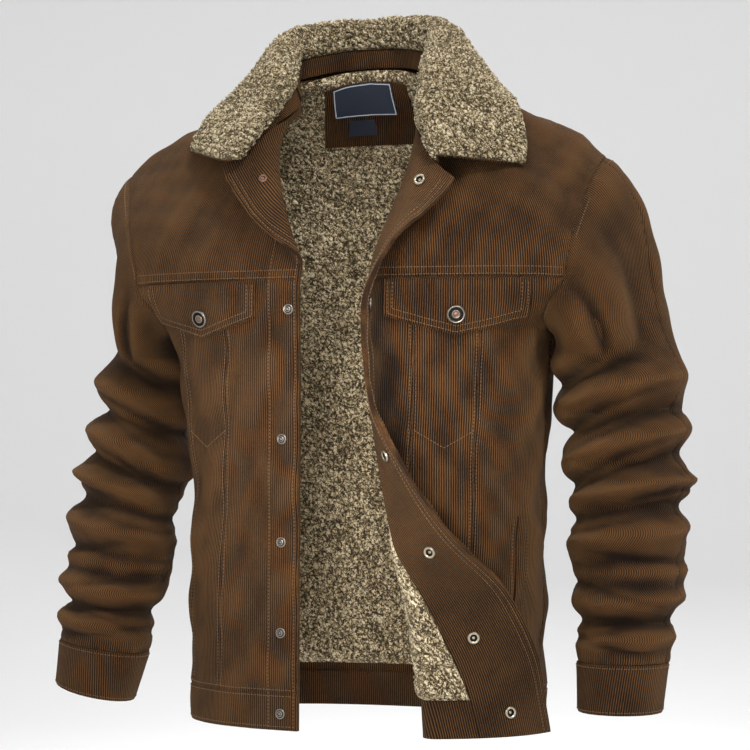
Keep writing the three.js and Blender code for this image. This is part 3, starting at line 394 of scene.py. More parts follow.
def front_surface(side, s, level):
    s, level = np.broadcast_arrays(np.asarray(s, float), np.asarray(level, float))
    on_yoke = yoke_base(side, s, np.clip(level, 0, 1))
    flat = np.where((level < 1)[..., None], on_yoke, body_base(side, s, row_height(np.maximum(level, 1))))
    z = flat[..., 2]
    hang = FRONT_HANG[side]
    turn = np.radians(hang("turn", z))
    radius = hang("radius", z)
    bend = turn * radius
    start = hang("foldAt", z) + bend / 2
    past = np.maximum(start - s, 0)
    angle = np.minimum(past / radius, turn)
    straight = np.maximum(past - bend, 0)
    back = -radius * np.sin(angle) - straight * np.cos(turn)
    height = radius * (1 - np.cos(angle)) + straight * np.sin(turn)
    sag = (1 - np.cos(angle)) / 2 * np.sin(2 * np.radians(hang("lean", z))) * past
    place = flat_front(side, start + back, z - sag)
    folded = place + flat_normal(side, start + back, z - sag) * height[..., None]
    return np.where((s < start)[..., None], folded, flat)


print("at the hem the left front folds back %.0f mm from its edge" % FRONT_HANG["l"]("foldAt", HEM_Z))

# %% [markdown]
# The back is one smooth surface from the neckline over the shoulder blades down to the hem.

# %% Back
def back_turn(across, z):
    return 180 - across * (180 - armhole_turn("l", False, z))


def back_surface(across, level):
    across, level = np.broadcast_arrays(np.asarray(across, float), np.asarray(level, float))
    turn = back_turn(across, BACK_YOKE_Z)
    end = section_point(turn, BACK_YOKE_Z)
    below = section_point(turn, BACK_YOKE_Z - STEP_DOWN)
    share = np.minimum(np.abs(across), 1)
    right = hermite(np.clip(level, 0, 1)[..., None], *yoke_frame("back", share, -1, end, below))
    left = hermite(np.clip(level, 0, 1)[..., None], *yoke_frame("back", share, 1, end, below))
    yoke = np.where((across < 0)[..., None], right, left)
    z = mix(BACK_YOKE_Z, HEM_Z, np.maximum(level, 1) - 1)
    return np.where((level < 1)[..., None], yoke, section_point(back_turn(across, z), z))


def back_level_of(z):
    return 1 + (z - BACK_YOKE_Z) / (HEM_Z - BACK_YOKE_Z)


nape, yoke_seam = back_surface(0, (0, 1))
print("the back yoke drops %.0f mm from the nape" % (nape - yoke_seam)[2])

# %% [markdown]
# A sleeve is a tube of rings that starts on the armhole seam. Its bunched folds at the elbow and above
# the cuff are the strongest in the jacket, since the sleeve is longer than the arm and the cuff holds it.

# %% Sleeves
SLEEVE_COLUMNS = "z x y wide deep tilt"
SLEEVE = {
    "r": table(SLEEVE_COLUMNS, [
        [-300, 256, 74, 50, 72, 0],
        [-344, 259, 72, 53, 69, 2],
        [-390, 264, 62, 55, 65, 4],
        [-430, 269, 50, 56, 62, 6],
        [-470, 272, 36, 57, 60, 7],
        [-507, 273, 25, 57, 58, 7],
        [-554, 276, 10, 53, 53, 8],
        [-604, 281, -1, 49, 48, 9],
        [-654, 290, -6, 43, 44, 13],
    ]),
    "l": table(SLEEVE_COLUMNS, [
        [-300, 271, 58, 65, 66, 0],
        [-344, 271, 62, 65, 65, 0],
        [-390, 276, 57, 62, 63, 0],
        [-430, 280, 48, 61, 62, 0],
        [-470, 284, 36, 59, 60, 0],
        [-507, 286, 25, 58, 57, 0],
        [-554, 288, 10, 52, 53, 0],
        [-604, 287, -1, 46, 47, 0],
        [-654, 285, -6, 42, 43, 0],
    ]),
}

# Folds by place round the arm, height there, half height, rise and lean. The last ones are finer creases.
SLEEVE_FOLDS = [
    (100, -262, 10, -6, 20), (80, -287, 11, 5, 22), (90, -312, 10, -7, 22), (70, -338, 12, 6, 18),
    (90, -366, 10, -7, 15), (60, -392, 12, 7, 16), (100, -418, 9, -7, 18), (40, -436, 10, 7, 12),
    (80, -458, 9, -6, 9), (60, -482, 13, 6, 6), (90, -508, 10, -4, 4), (110, -528, 10, -5, 0),
    (50, -546, 10, 5, 2), (90, -564, 8, -5, 0), (60, -584, 9, 4, 4), (270, -350, 14, 5, -10),
    (250, -385, 11, -6, -12), (280, -425, 12, 6, -8), (260, -460, 10, -5, 6), (290, -520, 12, 4, 8),
    (250, -560, 10, -5, 6),
    (120, -298, 4.5, -3.2, 30), (130, -350, 4.5, -3.4, 26), (60, -378, 5, -3, 24), (125, -404, 4.5, -3.6, 26),
    (30, -447, 4.5, -3.6, 14), (110, -470, 4.5, -3.2, 12), (45, -498, 5, -2.8, -10),
    (100, -540, 4.5, -3, -12), (60, -574, 4, -2.8, 8),
    (110, -590, 4, -2.6, -8), (300, -405, 5, -3, -14), (240, -440, 5, -3, 10),
    (290, -490, 5, -2.6, 8), (260, -582, 4.5, -2.6, 6),
]
FOLD_DEPTH = 1.8
FOLD_FOCUS = 1.3


def sleeve_fold(turn, z):
    rise = 0
    for at_turn, at_z, height, amount, lean in SLEEVE_FOLDS:
        place = (z - at_z - lean * np.cos(np.radians(turn))) / height
        round_arm = (0.5 + 0.5 * np.cos(np.radians(turn - at_turn))) ** FOLD_FOCUS
        rise = rise + FOLD_DEPTH * amount * round_arm * np.exp(-place * place)
    return rise * smooth((z - CUFF_SEAM_Z - 2) / 14)


def sleeve_ring(side, turn, z):
    value = {name: SLEEVE[side](name, z) for name in SLEEVE_COLUMNS.split()[1:]}
    fold = sleeve_fold(turn, z)
    outward = np.cos(np.radians(turn)) * (value["wide"] + fold)
    forward = np.sin(np.radians(turn)) * (value["deep"] + fold)
    tilt = np.radians(value["tilt"])
    x = SIGN[side] * (value["x"] + outward * np.cos(tilt))
    return points(x, value["y"] - forward, z + outward * np.sin(tilt))


def armhole(side, turn):
    turn = turn % 360
    sign = SIGN[side]
    over_front = yoke_base(side, yoke_width(side), np.clip(turn / 90, 0, 1))
    front_z = mix(FRONT_YOKE_Z, UNDERARM_Z, np.sin(np.radians(np.clip(turn, 90, 180) - 90)))
    front = section_point(sign * armhole_turn(side, True, front_z), front_z)
    back_z = mix(UNDERARM_Z, BACK_YOKE_Z, 1 - np.sin(np.radians(270 - np.clip(turn, 180, 270))))
    back = section_point(sign * armhole_turn(side, False, back_z), back_z)
    over_back = back_surface(sign, np.clip((360 - turn) / 90, 0, 0.9999))
    at = turn[..., None]
    return np.where(at <= 90, over_front, np.where(at <= 180, front, np.where(at <= 270, back, over_back)))


# The sleeve starts a little inside the armhole seam, and leaves it outward, forward and down.
ARM_CLEARANCE = -0.4
CAP_OUT = (0.86, 0.72)
CAP_SWING = 0.4
CAP_FALL = (0.5, 0.7)


def sleeve_surface(side, turn, place):
    turn, place = np.broadcast_arrays(np.asarray(turn, float), np.asarray(place, float))
    on_arm = mix(SLEEVE_START_Z, CUFF_SEAM_Z, np.clip(place, 1, 2) - 1)
    ring = sleeve_ring(side, turn, np.where(place < 2, on_arm, CUFF_SEAM_Z - (place - 2) * CUFF_DEPTH))
    down = 0.5 - 0.5 * np.cos(np.radians(turn))
    swing = CAP_SWING * np.sin(np.radians(turn))
    out = unit(points(SIGN[side] * mix(*CAP_OUT, down), swing, -mix(*CAP_FALL, down)))
    start = armhole(side, turn) + out * ARM_CLEARANCE
    end = sleeve_ring(side, turn, np.full(turn.shape, float(SLEEVE_START_Z)))
    below = sleeve_ring(side, turn, np.full(turn.shape, float(SLEEVE_START_Z - STEP_DOWN)))
    length = np.linalg.norm(end - start, axis=-1, keepdims=True)
    cap = hermite(np.clip(place, 0, 1)[..., None], start, out * length, end, unit(below - end) * length)
    return np.where((place > 1)[..., None], ring, cap)


print("folds on each sleeve:", len(SLEEVE_FOLDS))

# %% [markdown]
# The collar stands up from the neckline, rolls over and falls to its edge. The roll is where the pile
# turns outward, and the edge rests on the shoulders and on the lapels.

# %% Collar
COLLAR_ROLL = {
    "r": table("place x y z", [
        [0, 6, 86, 66],
        [0.25, 42, 79, 66],
        [0.5, 86, 42, 50],
        [0.625, 80, -8, 12],
        [0.75, 70, -52, -30],
        [0.88, 80, -80, -66],
        [1, 97, -97, -99],
    ]),
    "l": table("place x y z", [
        [0, -6, 86, 66],
        [0.25, 40, 79, 66],
        [0.5, 88, 42, 50],
        [0.625, 98, -8, 10],
        [0.75, 98, -54, -36],
        [0.88, 106, -76, -72],
        [1, 120, -92, -102],
    ]),
}
COLLAR_EDGE = {
    "r": table("place x y z", [
        [0, 4, 122, -2],
        [0.125, 41.8, 119.5, -4.3],
        [0.25, 78, 112, -8],
        [0.375, 111, 90.8, -15.2],
        [0.5, 140, 62, -26],
        [0.5625, 152.6, 43.3, -29.2],
        [0.625, 160.9, 17.2, -36.3],
        [0.6875, 165.6, 0.4, -48],
        [0.75, 168.3, -10.8, -58.6],
        [0.815, 169.5, -18.2, -66.7],
        [0.88, 169.6, -23.5, -72.7],
        [0.94, 168.8, -29.2, -77.1],
        [1, 168, -36, -80],
    ]),
    "l": table("place x y z", [
        [0, -4, 122, -2],
        [0.125, 35.8, 119.5, -4.3],
        [0.25, 74, 112, -8],
        [0.375, 108.2, 90.8, -14.5],
        [0.5, 140, 62, -26],
        [0.5625, 158.1, 43.8, -31.6],
        [0.625, 174, 16.5, -41.9],
        [0.6875, 185, -4.9, -60.4],
        [0.75, 192.3, -18.9, -77.7],
        [0.815, 195.1, -26.1, -87.9],
        [0.88, 195.9, -30.7, -94.6],
        [0.94, 196.4, -35.1, -101.1],
        [1, 196.4, -39, -107.4],
    ]),
}
COLLAR_BASE_LIFT = 1.6
COLLAR_END_LIFT = 5
COLLAR_END_REACH = 20
LAPEL_FACING = unit(np.array([0.0, -1, 0.2]))
STAND_SHARE = 0.4
STAND_LEAN = 0.3
ROLL_ROUND = 0.7
FALL_ROUND = 1.4


def collar_base(side, place):
    sign = SIGN[side]
    at_back = back_surface(sign * np.minimum(place, 0.5) / 0.5 * NECK_SHARE["back"], 0.0)
    s = mix(NECK_SHARE[side] * yoke_width(side), COLLAR_END_REACH, np.clip((place - 0.5) / 0.5, 0, 1))
    return np.where((place <= 0.5)[..., None], at_back, front_surface(side, s, 0.0))


def collar_surface(side, place, height):
    place, height = np.broadcast_arrays(np.asarray(place, float), np.asarray(height, float))
    mirror = MIRROR[SIGN[side]]
    lines = (COLLAR_ROLL[side], COLLAR_EDGE[side])
    roll, edge = [points(*(line(name, place) for name in "xyz")) * mirror for line in lines]
    base = collar_base(side, place)
    level = np.array([1.0, 1, 0])
    out = unit((edge - base) * level)
    base = base + unit(roll - base) * COLLAR_BASE_LIFT
    base = base + LAPEL_FACING * (COLLAR_END_LIFT * smooth((place - 0.7) / 0.2))[..., None]
    tall = np.linalg.norm(roll - base, axis=-1, keepdims=True)
    up = unit(roll - base - out * tall * STAND_LEAN) * tall
    stand = hermite(np.clip(height / STAND_SHARE, 0, 1)[..., None], base, up, roll, out * tall * ROLL_ROUND)
    wide = np.linalg.norm(edge - roll, axis=-1, keepdims=True)
    leave = out * wide * ROLL_ROUND * FALL_ROUND * STAND_SHARE / (1 - STAND_SHARE)
    t = np.clip((height - STAND_SHARE) / (1 - STAND_SHARE), 0, 1)[..., None]
    fall = hermite(t, roll, leave, edge, unit(edge - roll) * wide)
    return np.where((height < STAND_SHARE)[..., None], stand, fall)


roll_end, edge_end = collar_surface("l", 1, (STAND_SHARE, 1))
print("the collar's left end is %.0f mm deep" % np.linalg.norm(roll_end - edge_end))

# %% [markdown]
# A cloth is woven first and bent afterwards, so its mesh is a grid. The surface is sampled coarsely, then
# refined with a spline to the spacing that the finish needs, with extra rows beside its edges, where a
# seam pulls the cloth down. The UV map is in metres along the cloth, so that a pattern keeps its real size.

# %% Grids
def spline(grid, at):
    first = 2 * grid[:1] - grid[1:2]
    last = 2 * grid[-1:] - grid[-2:-1]
    padded = np.concatenate([first, grid, last])
    i = np.clip(np.floor(at).astype(int), 0, len(grid) - 2)
    t = (at - i)[:, None, None]
    a, b, c, d = (padded[i + k] for k in range(4))
    return b + 0.5 * t * (c - a + t * (2 * a - 5 * b + 4 * c - d + t * (3 * (b - c) + d - a)))


EDGE_ROWS = np.array([0, 0.8, 1.8, 3.2, 5.2])
EDGE_SPAN = 10


def places_along(length, step, crowded):
    if not crowded or length < 4 * EDGE_ROWS[-1]:
        return np.linspace(0, length, max(2, int(round(length / step)) + 1))
    count = max(2, int(round((length - EDGE_SPAN) / step)))
    inner = np.linspace(EDGE_ROWS[-1], length - EDGE_ROWS[-1], count)
    return np.concatenate([EDGE_ROWS[:-1], inner, length - EDGE_ROWS[:-1][::-1]])


def lengths_along(grid):
    longest = np.max(np.linalg.norm(np.diff(grid, axis=0), axis=-1), axis=1)
    return np.concatenate([[0], np.cumsum(longest)])


def refine(grid, step, crowded=True):
    for _ in range(2):
        lengths = lengths_along(grid)
        wanted = places_along(lengths[-1], step, crowded)
        grid = spline(grid, np.interp(wanted, lengths, np.arange(len(lengths))))
        grid = grid.transpose(1, 0, 2)
    return grid


def facing_of(grid, outward):
    down = np.gradient(grid, axis=0)
    across = np.gradient(grid, axis=1)
    return unit(np.cross(across, down)) * outward


def cloth_places(grid):
    """Lengths down and across the cloth, and the distances to its four edges, all in millimetres."""
    down = np.cumsum(np.linalg.norm(np.diff(grid, axis=0), axis=-1), axis=0)
    down = np.concatenate([np.zeros((1, grid.shape[1])), down])
    across = np.cumsum(np.linalg.norm(np.diff(grid, axis=1), axis=-1), axis=1)
    across = np.concatenate([np.zeros((grid.shape[0], 1)), across], axis=1)
    return down, across, down[-1:] - down, across[:, -1:] - across


print("extra rows beside an edge, in mm:", EDGE_ROWS)

# %% [markdown]
# A shell closes an outer and an inner grid with a rim all round. A tube closes on itself instead. The rim
# is then rounded by a bevel, as folded cloth never has a sharp corner. The hidden inner side needs less
# detail, so its cells are larger, and those at the rim keep every point of the rim.

# %% Shells
BEVEL_ANGLE = 55
BEVEL_SEGMENTS = 2


def kept_places(count, step):
    return sorted(set(range(0, count - 1, step)) | {count - 1})


def inner_cells(index, steps):
    rows, columns = index.shape
    kept_rows = kept_places(rows, steps[0])
    kept_columns = kept_places(columns, steps[1])

    def run(line, fine):
        return line.tolist() if fine else [int(line[0]), int(line[-1])]

    cells = []
    for top, bottom in zip(kept_rows[:-1], kept_rows[1:]):
        for left, right in zip(kept_columns[:-1], kept_columns[1:]):
            above = run(index[top, left:right + 1], top == 0)
            beside = run(index[top:bottom + 1, right], right == columns - 1)
            below = run(index[bottom, left:right + 1][::-1], bottom == rows - 1)
            before = run(index[top:bottom + 1, left][::-1], left == 0)
            cells.append(above + beside[1:] + below[1:] + before[1:-1])
    return cells


def outer_and_rim(grid, far, tube):
    quads = [(grid[:-1, :-1], grid[1:, :-1], grid[1:, 1:], grid[:-1, 1:])]
    quads.append((grid[0, :-1], grid[0, 1:], grid[0, 1:] + far, grid[0, :-1] + far))
    quads.append((grid[-1, 1:], grid[-1, :-1], grid[-1, :-1] + far, grid[-1, 1:] + far))
    if not tube:
        quads.append((grid[1:, 0], grid[:-1, 0], grid[:-1, 0] + far, grid[1:, 0] + far))
        quads.append((grid[:-1, -1], grid[1:, -1], grid[1:, -1] + far, grid[:-1, -1] + far))
    return np.concatenate([np.stack(quad, -1).reshape(-1, 4) for quad in quads])


def volume_of(vertices, quads):
    a, b, c, d = (vertices[quads[:, k]] - vertices.mean(axis=0) for k in range(4))
    return np.sum(a * np.cross(b, c)) + np.sum(a * np.cross(c, d))


def ring_faces(rings, count):
    """The faces between rings of points that each close on themselves."""
    return [
        (i * count + j, i * count + (j + 1) % count, (i + 1) * count + (j + 1) % count, (i + 1) * count + j)
        for i in range(rings - 1) for j in range(count)
    ]


def put(name, data):
    """Puts a mesh, light or camera into the scene."""
    thing = bpy.data.objects.new(name, data)
    bpy.context.scene.collection.objects.link(thing)
    return thing


def closed_shell(name, outer, inner, uv, tube=False, round_rim=0.6, inner_steps=(1, 1), marks=()):
    rows, columns = outer.shape[:2]
    far = rows * columns
    vertices = np.concatenate([outer.reshape(-1, 3), inner.reshape(-1, 3)]) * MM
    index = np.arange(far).reshape(rows, columns)
    place = np.arange(rows * uv.shape[1]).reshape(rows, uv.shape[1])
    if tube:
        index = np.concatenate([index, index[:, :1]], axis=1)
    quads = outer_and_rim(index, far, tube)
    back = inner_cells(index + far, inner_steps)
    every_cell = np.stack([index[:-1, :-1], index[:-1, 1:], index[1:, 1:], index[1:, :-1]], -1).reshape(-1, 4)
    turned = volume_of(vertices, np.concatenate([quads, every_cell + far])) < 0
    faces = quads.tolist() + back
    corners = outer_and_rim(place, 0, tube).tolist() + inner_cells(place, inner_steps)
    if turned:
        faces = [face[::-1] for face in faces]
        corners = [corner[::-1] for corner in corners]
    used = np.zeros(2 * far, bool)
    used[[vertex for face in faces for vertex in face]] = True
    number = (np.cumsum(used) - 1).tolist()
    mesh = bpy.data.meshes.new(name)
    mesh.from_pydata(vertices[used].tolist(), [], [[number[vertex] for vertex in face] for face in faces])
    layer = mesh.uv_layers.new(name="UVMap")
    places = [place_number for corner in corners for place_number in corner]
    layer.data.foreach_set("uv", (uv.reshape(-1, 2) * MM)[places].reshape(-1).astype(np.float32))
    mesh.polygons.foreach_set("use_smooth", np.ones(len(faces), bool))
    for mark, values, inside in marks:
        values = np.concatenate([values.reshape(-1), np.full(values.size, inside)])[used].astype(np.float32)
        mesh.attributes.new(mark, "FLOAT", "POINT").data.foreach_set("value", values)
    mesh.update()
    piece = put(name, mesh)
    if round_rim:
        bevel = piece.modifiers.new("rounded rim", "BEVEL")
        bevel.width = round_rim * MM
        bevel.segments = BEVEL_SEGMENTS
        bevel.limit_method = "ANGLE"
        bevel.angle_limit = math.radians(BEVEL_ANGLE)
    return piece


print("a 9 by 9 grid has", len(inner_cells(np.arange(81).reshape(9, 9), (4, 4))), "hidden cells at 4 by 4")

# %% [markdown]
# Stitched seams pull the cloth down into a soft groove and pucker it beside the thread. The pucker is a
# small wave along the seam whose height dies away from it.

# %% Seam relief
SEAM_DIP = 0.9
SEAM_REACH = 2.6
PUCKER = 0.25
PUCKER_REACH = 9.0
PUCKER_LENGTH = 11.0
PUCKER_SWAY = 1.7
PUCKER_SWAY_LENGTH = 23.0
FOLD_WAVES = 7
FOLD_SPREAD = (0.7, 1.6)
FOLD_UPRIGHT = 0.45
NOISE_WAVES = 6
NOISE_SPREAD = (0.7, 1.5)


def seam_relief(distance, along):
    wave = np.sin(along * 2 * math.pi / PUCKER_LENGTH + PUCKER_SWAY * np.sin(along / PUCKER_SWAY_LENGTH))
    dip = SEAM_DIP * np.exp(-((distance / SEAM_REACH) ** 2))
    return PUCKER * wave * np.exp(-((distance / PUCKER_REACH) ** 2)) - dip


def hanging_folds(place, length, seed):
    """Long soft ridges, mostly upright, that run on from one cloth to the next across their seam."""
    draw = np.random.default_rng(seed)
    total = 0
    for _ in range(FOLD_WAVES):
        direction = unit(np.array([draw.normal(), draw.normal(), FOLD_UPRIGHT * draw.normal()]))
        wave = place @ direction * 2 * math.pi / (length * draw.uniform(*FOLD_SPREAD))
        total = total + np.sin(wave + draw.uniform(0, 6))
    return total / FOLD_WAVES


FOLD_LENGTH = 58.0
FOLD_RISE = 4.6
CREASE_LENGTH = 24.0
CREASE_RISE = 1.2
DRAPE_MIDDLE = 0.5
THINNEST = -1.7


def seat_of(node):
    """The middle of a snap's seat and the way it faces, from its place in the frame."""
    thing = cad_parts[node]
    corners = np.array([thing.matrix_world @ vertex.co for vertex in thing.data.vertices]) / MM
    corners = np.unique(np.round(corners, 3), axis=0)
    middle = corners.mean(axis=0)
    axis = np.linalg.svd(corners - middle)[2][2]
    height = (corners - middle) @ axis
    radius = np.linalg.norm(corners - middle - height[:, None] * axis, axis=-1)
    if radius[height > 0].mean() > radius[height < 0].mean():
        axis = -axis
        height = -height
    return middle + axis * height.min(), axis


CALM_REACH = 20.0
snap_nodes = [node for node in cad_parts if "snap" in node]
snap_seats = {node: seat_of(node) for node in snap_nodes}


def drape(place):
    """The height of the hanging folds at each point. The cloth lies flat round each snap."""
    folds = FOLD_RISE * hanging_folds(place, FOLD_LENGTH, 21)
    folds = folds + CREASE_RISE * hanging_folds(place, CREASE_LENGTH, 22)
    calm = 1
    for seat, _ in snap_seats.values():
        away = np.linalg.norm(place - seat, axis=-1)
        calm = calm * (1 - np.exp(-((away / CALM_REACH) ** 2)))
    return (folds + DRAPE_MIDDLE) * calm


def soft_noise(u, v, scale, seed):
    """A few crossed waves of about one length, used for the small unevenness of hanging cloth."""
    draw = np.random.default_rng(seed)
    total = 0
    for _ in range(NOISE_WAVES):
        angle = draw.uniform(0, 2 * math.pi)
        length = scale * draw.uniform(*NOISE_SPREAD)
        run = u * math.cos(angle) + v * math.sin(angle)
        total = total + np.sin(run * 2 * math.pi / length + draw.uniform(0, 6))
    return total / NOISE_WAVES


print("snap seats found in the frame:", len(snap_seats))

# %% [markdown]
# ## Finishes
# Colours are given as screen colours in hex and turned to linear light once. One small function adds a
# node, sets its values and joins its inputs.

# %% Colours and nodes
def linear(hex_colour):
    channels = [int(hex_colour[i:i + 2], 16) / 255 for i in (1, 3, 5)]
    return tuple(c / 12.92 if c <= 0.04045 else ((c + 0.055) / 1.055) ** 2.4 for c in channels) + (1.0,)


def add(tree, kind, settings=(), links=(), values=()):
    node = tree.nodes.new(kind)
    for name, value in dict(settings).items():
        setattr(node, name, value)
    for socket, value in dict(values).items():
        node.inputs[socket].default_value = value
    for socket, source in dict(links).items():
        tree.links.new(source, node.inputs[socket])
    return node


def new_finish(name, **shader_values):
    finish = bpy.data.materials.new(name)
    finish.use_nodes = True
    tree = finish.node_tree
    shader = tree.nodes["Principled BSDF"]
    for socket, value in shader_values.items():
        shader.inputs[socket.replace("_", " ")].default_value = value
    return finish, tree, shader


def ramp(tree, source, stops):
    node = add(tree, "ShaderNodeValToRGB", links={"Fac": source})
    while len(node.color_ramp.elements) < len(stops):
        node.color_ramp.elements.new(0.5)
    for element, (position, colour) in zip(node.color_ramp.elements, stops):
        element.position = position
        element.color = linear(colour)
    return node.outputs["Color"]


print("mid grey in linear light: %.3f" % linear("#808080")[0])

# %% [markdown]
# Corduroy is cotton with cut pile standing in cords, called wales, about 2.4 mm apart. The pile swallows
# light in the grooves and catches it on the ridges, so the cloth looks dark with fine bright lines, and
# rubbed places are paler. A wave texture along the cloth's own UV makes the wales, as a raised bump and
# as colour. A wave texture repeats every 2 pi / 20 of a unit at scale 1, which sets the scale.

# %% Corduroy, cotton with cut pile
WALE = 2.4
WAVE_LENGTH_AT_ONE = 2 * math.pi / 20


def corduroy(name, dark, middle, light):
    finish, tree, shader = new_finish(name, Roughness=0.92, Sheen_Weight=0.2, Sheen_Roughness=0.45)
    shader.inputs["Sheen Tint"].default_value = linear("#C79B68")
    shader.inputs["Specular IOR Level"].default_value = 0.25
    uv = add(tree, "ShaderNodeUVMap", {"uv_map": "UVMap"}).outputs["UV"]
    place = add(tree, "ShaderNodeTexCoord").outputs["Object"]
    wave = add(
        tree, "ShaderNodeTexWave",
        {"wave_type": "BANDS", "bands_direction": "X", "wave_profile": "SIN"},
        {"Vector": uv},
        {"Scale": WAVE_LENGTH_AT_ONE / (WALE * MM), "Distortion": 0.7, "Detail": 2.0, "Detail Scale": 0.35},
    ).outputs["Fac"]
    patchy = {"Scale": 16.0, "Detail": 5.0, "Roughness": 0.62}
    rub = add(tree, "ShaderNodeTexNoise", {}, {"Vector": place}, patchy).outputs["Fac"]
    fluffy = {"Scale": 900.0, "Detail": 2.0}
    fluff = add(tree, "ShaderNodeTexNoise", {}, {"Vector": place}, fluffy).outputs["Fac"]
    fold_shade_and_wear = add(tree, "ShaderNodeAttribute", {"attribute_name": "fold_shade_and_wear"}).outputs["Fac"]

    # The tone is that of the wale, shifted by broad rubbing, by fluff and by the folds: darker in their
    # troughs as painted shade, paler on their ridges partly as wear and partly as painted highlight.
    tone = wave
    for source, low, high, down, up in (
        (rub, 0.35, 0.7, -0.14, 0.16),
        (fluff, 0.3, 0.7, -0.12, 0.12),
        (fold_shade_and_wear, -1.0, 1.0, -0.46, 0.36),
    ):
        spread = {"From Min": low, "From Max": high, "To Min": down, "To Max": up}
        shift = add(tree, "ShaderNodeMapRange", {}, {"Value": source}, spread).outputs["Result"]
        tone = add(tree, "ShaderNodeMath", {"operation": "ADD"}, {0: tone, 1: shift}).outputs["Value"]
    tree.links.new(ramp(tree, tone, [(0.02, dark), (0.5, middle), (1.0, light)]), shader.inputs["Base Color"])
    bump = add(tree, "ShaderNodeBump", {}, {"Height": wave}, {"Strength": 0.9, "Distance": 1.0 * MM})
    fine = add(
        tree, "ShaderNodeBump", {}, {"Height": fluff, "Normal": bump.outputs["Normal"]},
        {"Strength": 0.35, "Distance": 0.4 * MM},
    )
    tree.links.new(fine.outputs["Normal"], shader.inputs["Normal"])
    return finish


CORDUROY = corduroy("brown corduroy, cut pile", "#0C0502", "#2E1A09", "#6F4B26")
print("wales every %.1f mm" % WALE)

# %% [markdown]
# Sherpa is a knitted cloth with long polyester pile, tumbled until it curls into small clumps. Its look
# comes from the clumps: pale on top, brown and deep between. The clumps are in the mesh, and each point
# keeps how deep in the pile it lies, so that the colour follows the shape: the dark between the clumps is
# painted shade and their pale tops are painted highlight.

# %% Sherpa, curled polyester pile
LOCK = 4.4


def sherpa(name, deep, middle, tip):
    finish, tree, shader = new_finish(name, Roughness=1.0, Sheen_Weight=0.35, Sheen_Roughness=0.6)
    shader.inputs["Sheen Tint"].default_value = linear(tip)
    shader.inputs["Specular IOR Level"].default_value = 0.15
    depth = add(tree, "ShaderNodeAttribute", {"attribute_name": "pile"}).outputs["Fac"]
    place = add(tree, "ShaderNodeTexCoord").outputs["Object"]
    swirl = add(tree, "ShaderNodeTexNoise", {}, {"Vector": place}, {"Scale": 160.0, "Detail": 2.0})
    bent = add(
        tree, "ShaderNodeMix", {"data_type": "VECTOR"},
        {4: place, 5: swirl.outputs["Color"]}, {"Factor": 0.012},
    ).outputs[1]
    lock = add(
        tree, "ShaderNodeTexVoronoi", {"feature": "DISTANCE_TO_EDGE"}, {"Vector": bent},
        {"Scale": 1 / (LOCK * MM)},
    ).outputs["Distance"]
    curly = {"Scale": 300.0, "Detail": 2.0, "Roughness": 0.5, "Distortion": 1.2}
    curl = add(tree, "ShaderNodeTexNoise", {}, {"Vector": place}, curly).outputs["Fac"]
    broad = {"Scale": 28.0, "Detail": 3.0}
    patch = add(tree, "ShaderNodeTexNoise", {}, {"Vector": place}, broad).outputs["Fac"]

    # The tone is that of the depth in the pile, painted dark between the clumps as shade and pale on their
    # tops as highlight, shifted by curls, by partings painted darker as shade, and by broad patches.
    tone = depth
    for source, low, high, down, up in (
        (curl, 0.3, 0.7, -0.14, 0.14),
        (lock, 0.0, 0.15, -0.6, 0.14),
        (patch, 0.3, 0.7, -0.08, 0.08),
    ):
        spread = {"From Min": low, "From Max": high, "To Min": down, "To Max": up}
        shift = add(tree, "ShaderNodeMapRange", {}, {"Value": source}, spread).outputs["Result"]
        tone = add(tree, "ShaderNodeMath", {"operation": "ADD"}, {0: tone, 1: shift}).outputs["Value"]
    tree.links.new(ramp(tree, tone, [(0.12, deep), (0.42, middle), (0.74, tip)]), shader.inputs["Base Color"])
    bump = add(tree, "ShaderNodeBump", {}, {"Height": lock}, {"Strength": 0.8, "Distance": 5 * MM})
    fibre = add(
        tree, "ShaderNodeBump", {}, {"Height": curl, "Normal": bump.outputs["Normal"]},
        {"Strength": 0.5, "Distance": 1.0 * MM},
    )
    tree.links.new(fibre.outputs["Normal"], shader.inputs["Normal"])
    return finish


COLLAR_SHERPA = sherpa("collar sherpa, curled pile", "#2E2316", "#9B8864", "#DCCCAB")
# The lining's colours are painted paler than the collar's, as painted light against the shade inside the
# jacket.
LINING_SHERPA_PAINTED_LIGHT = sherpa("lining sherpa, curled pile, painted paler", "#382C1C", "#BAA279", "#FFEFCB")
print("pile locks every %.1f mm" % LOCK)

# %% [markdown]
# Pile clumps are cells round scattered points. A point's height is highest in the middle of its clump and
# drops in a crease where two clumps meet. The clumps lean and differ in height, as tumbled pile does.

# %% Pile relief
CELLS = 257
STEEPNESS = 1.7
ROUNDNESS = 0.8
MAIN_SHARE = 0.85
SMALL_SHARE = 0.15
SMALL_CLUMP = 0.55


def clumps(u, v, size, seed):
    draw = np.random.default_rng(seed)
    shift = draw.uniform(0.1, 0.9, (CELLS, CELLS, 2))
    height = draw.uniform(0.55, 1.0, (CELLS, CELLS))
    x = u / size
    y = v / size
    column = np.floor(x).astype(int)
    row = np.floor(y).astype(int)
    first = np.full(x.shape, 9.0)
    second = np.full(x.shape, 9.0)
    tall = np.zeros(x.shape)
    for i in (-1, 0, 1):
        for j in (-1, 0, 1):
            a = (column + i) % CELLS
            b = (row + j) % CELLS
            away = np.hypot(column + i + shift[a, b, 0] - x, row + j + shift[a, b, 1] - y)
            nearer = away < first
            second = np.where(nearer, first, np.minimum(second, away))
            tall = np.where(nearer, height[a, b], tall)
            first = np.where(nearer, away, first)
    return np.clip((second - first) * STEEPNESS, 0, 1) ** ROUNDNESS * tall


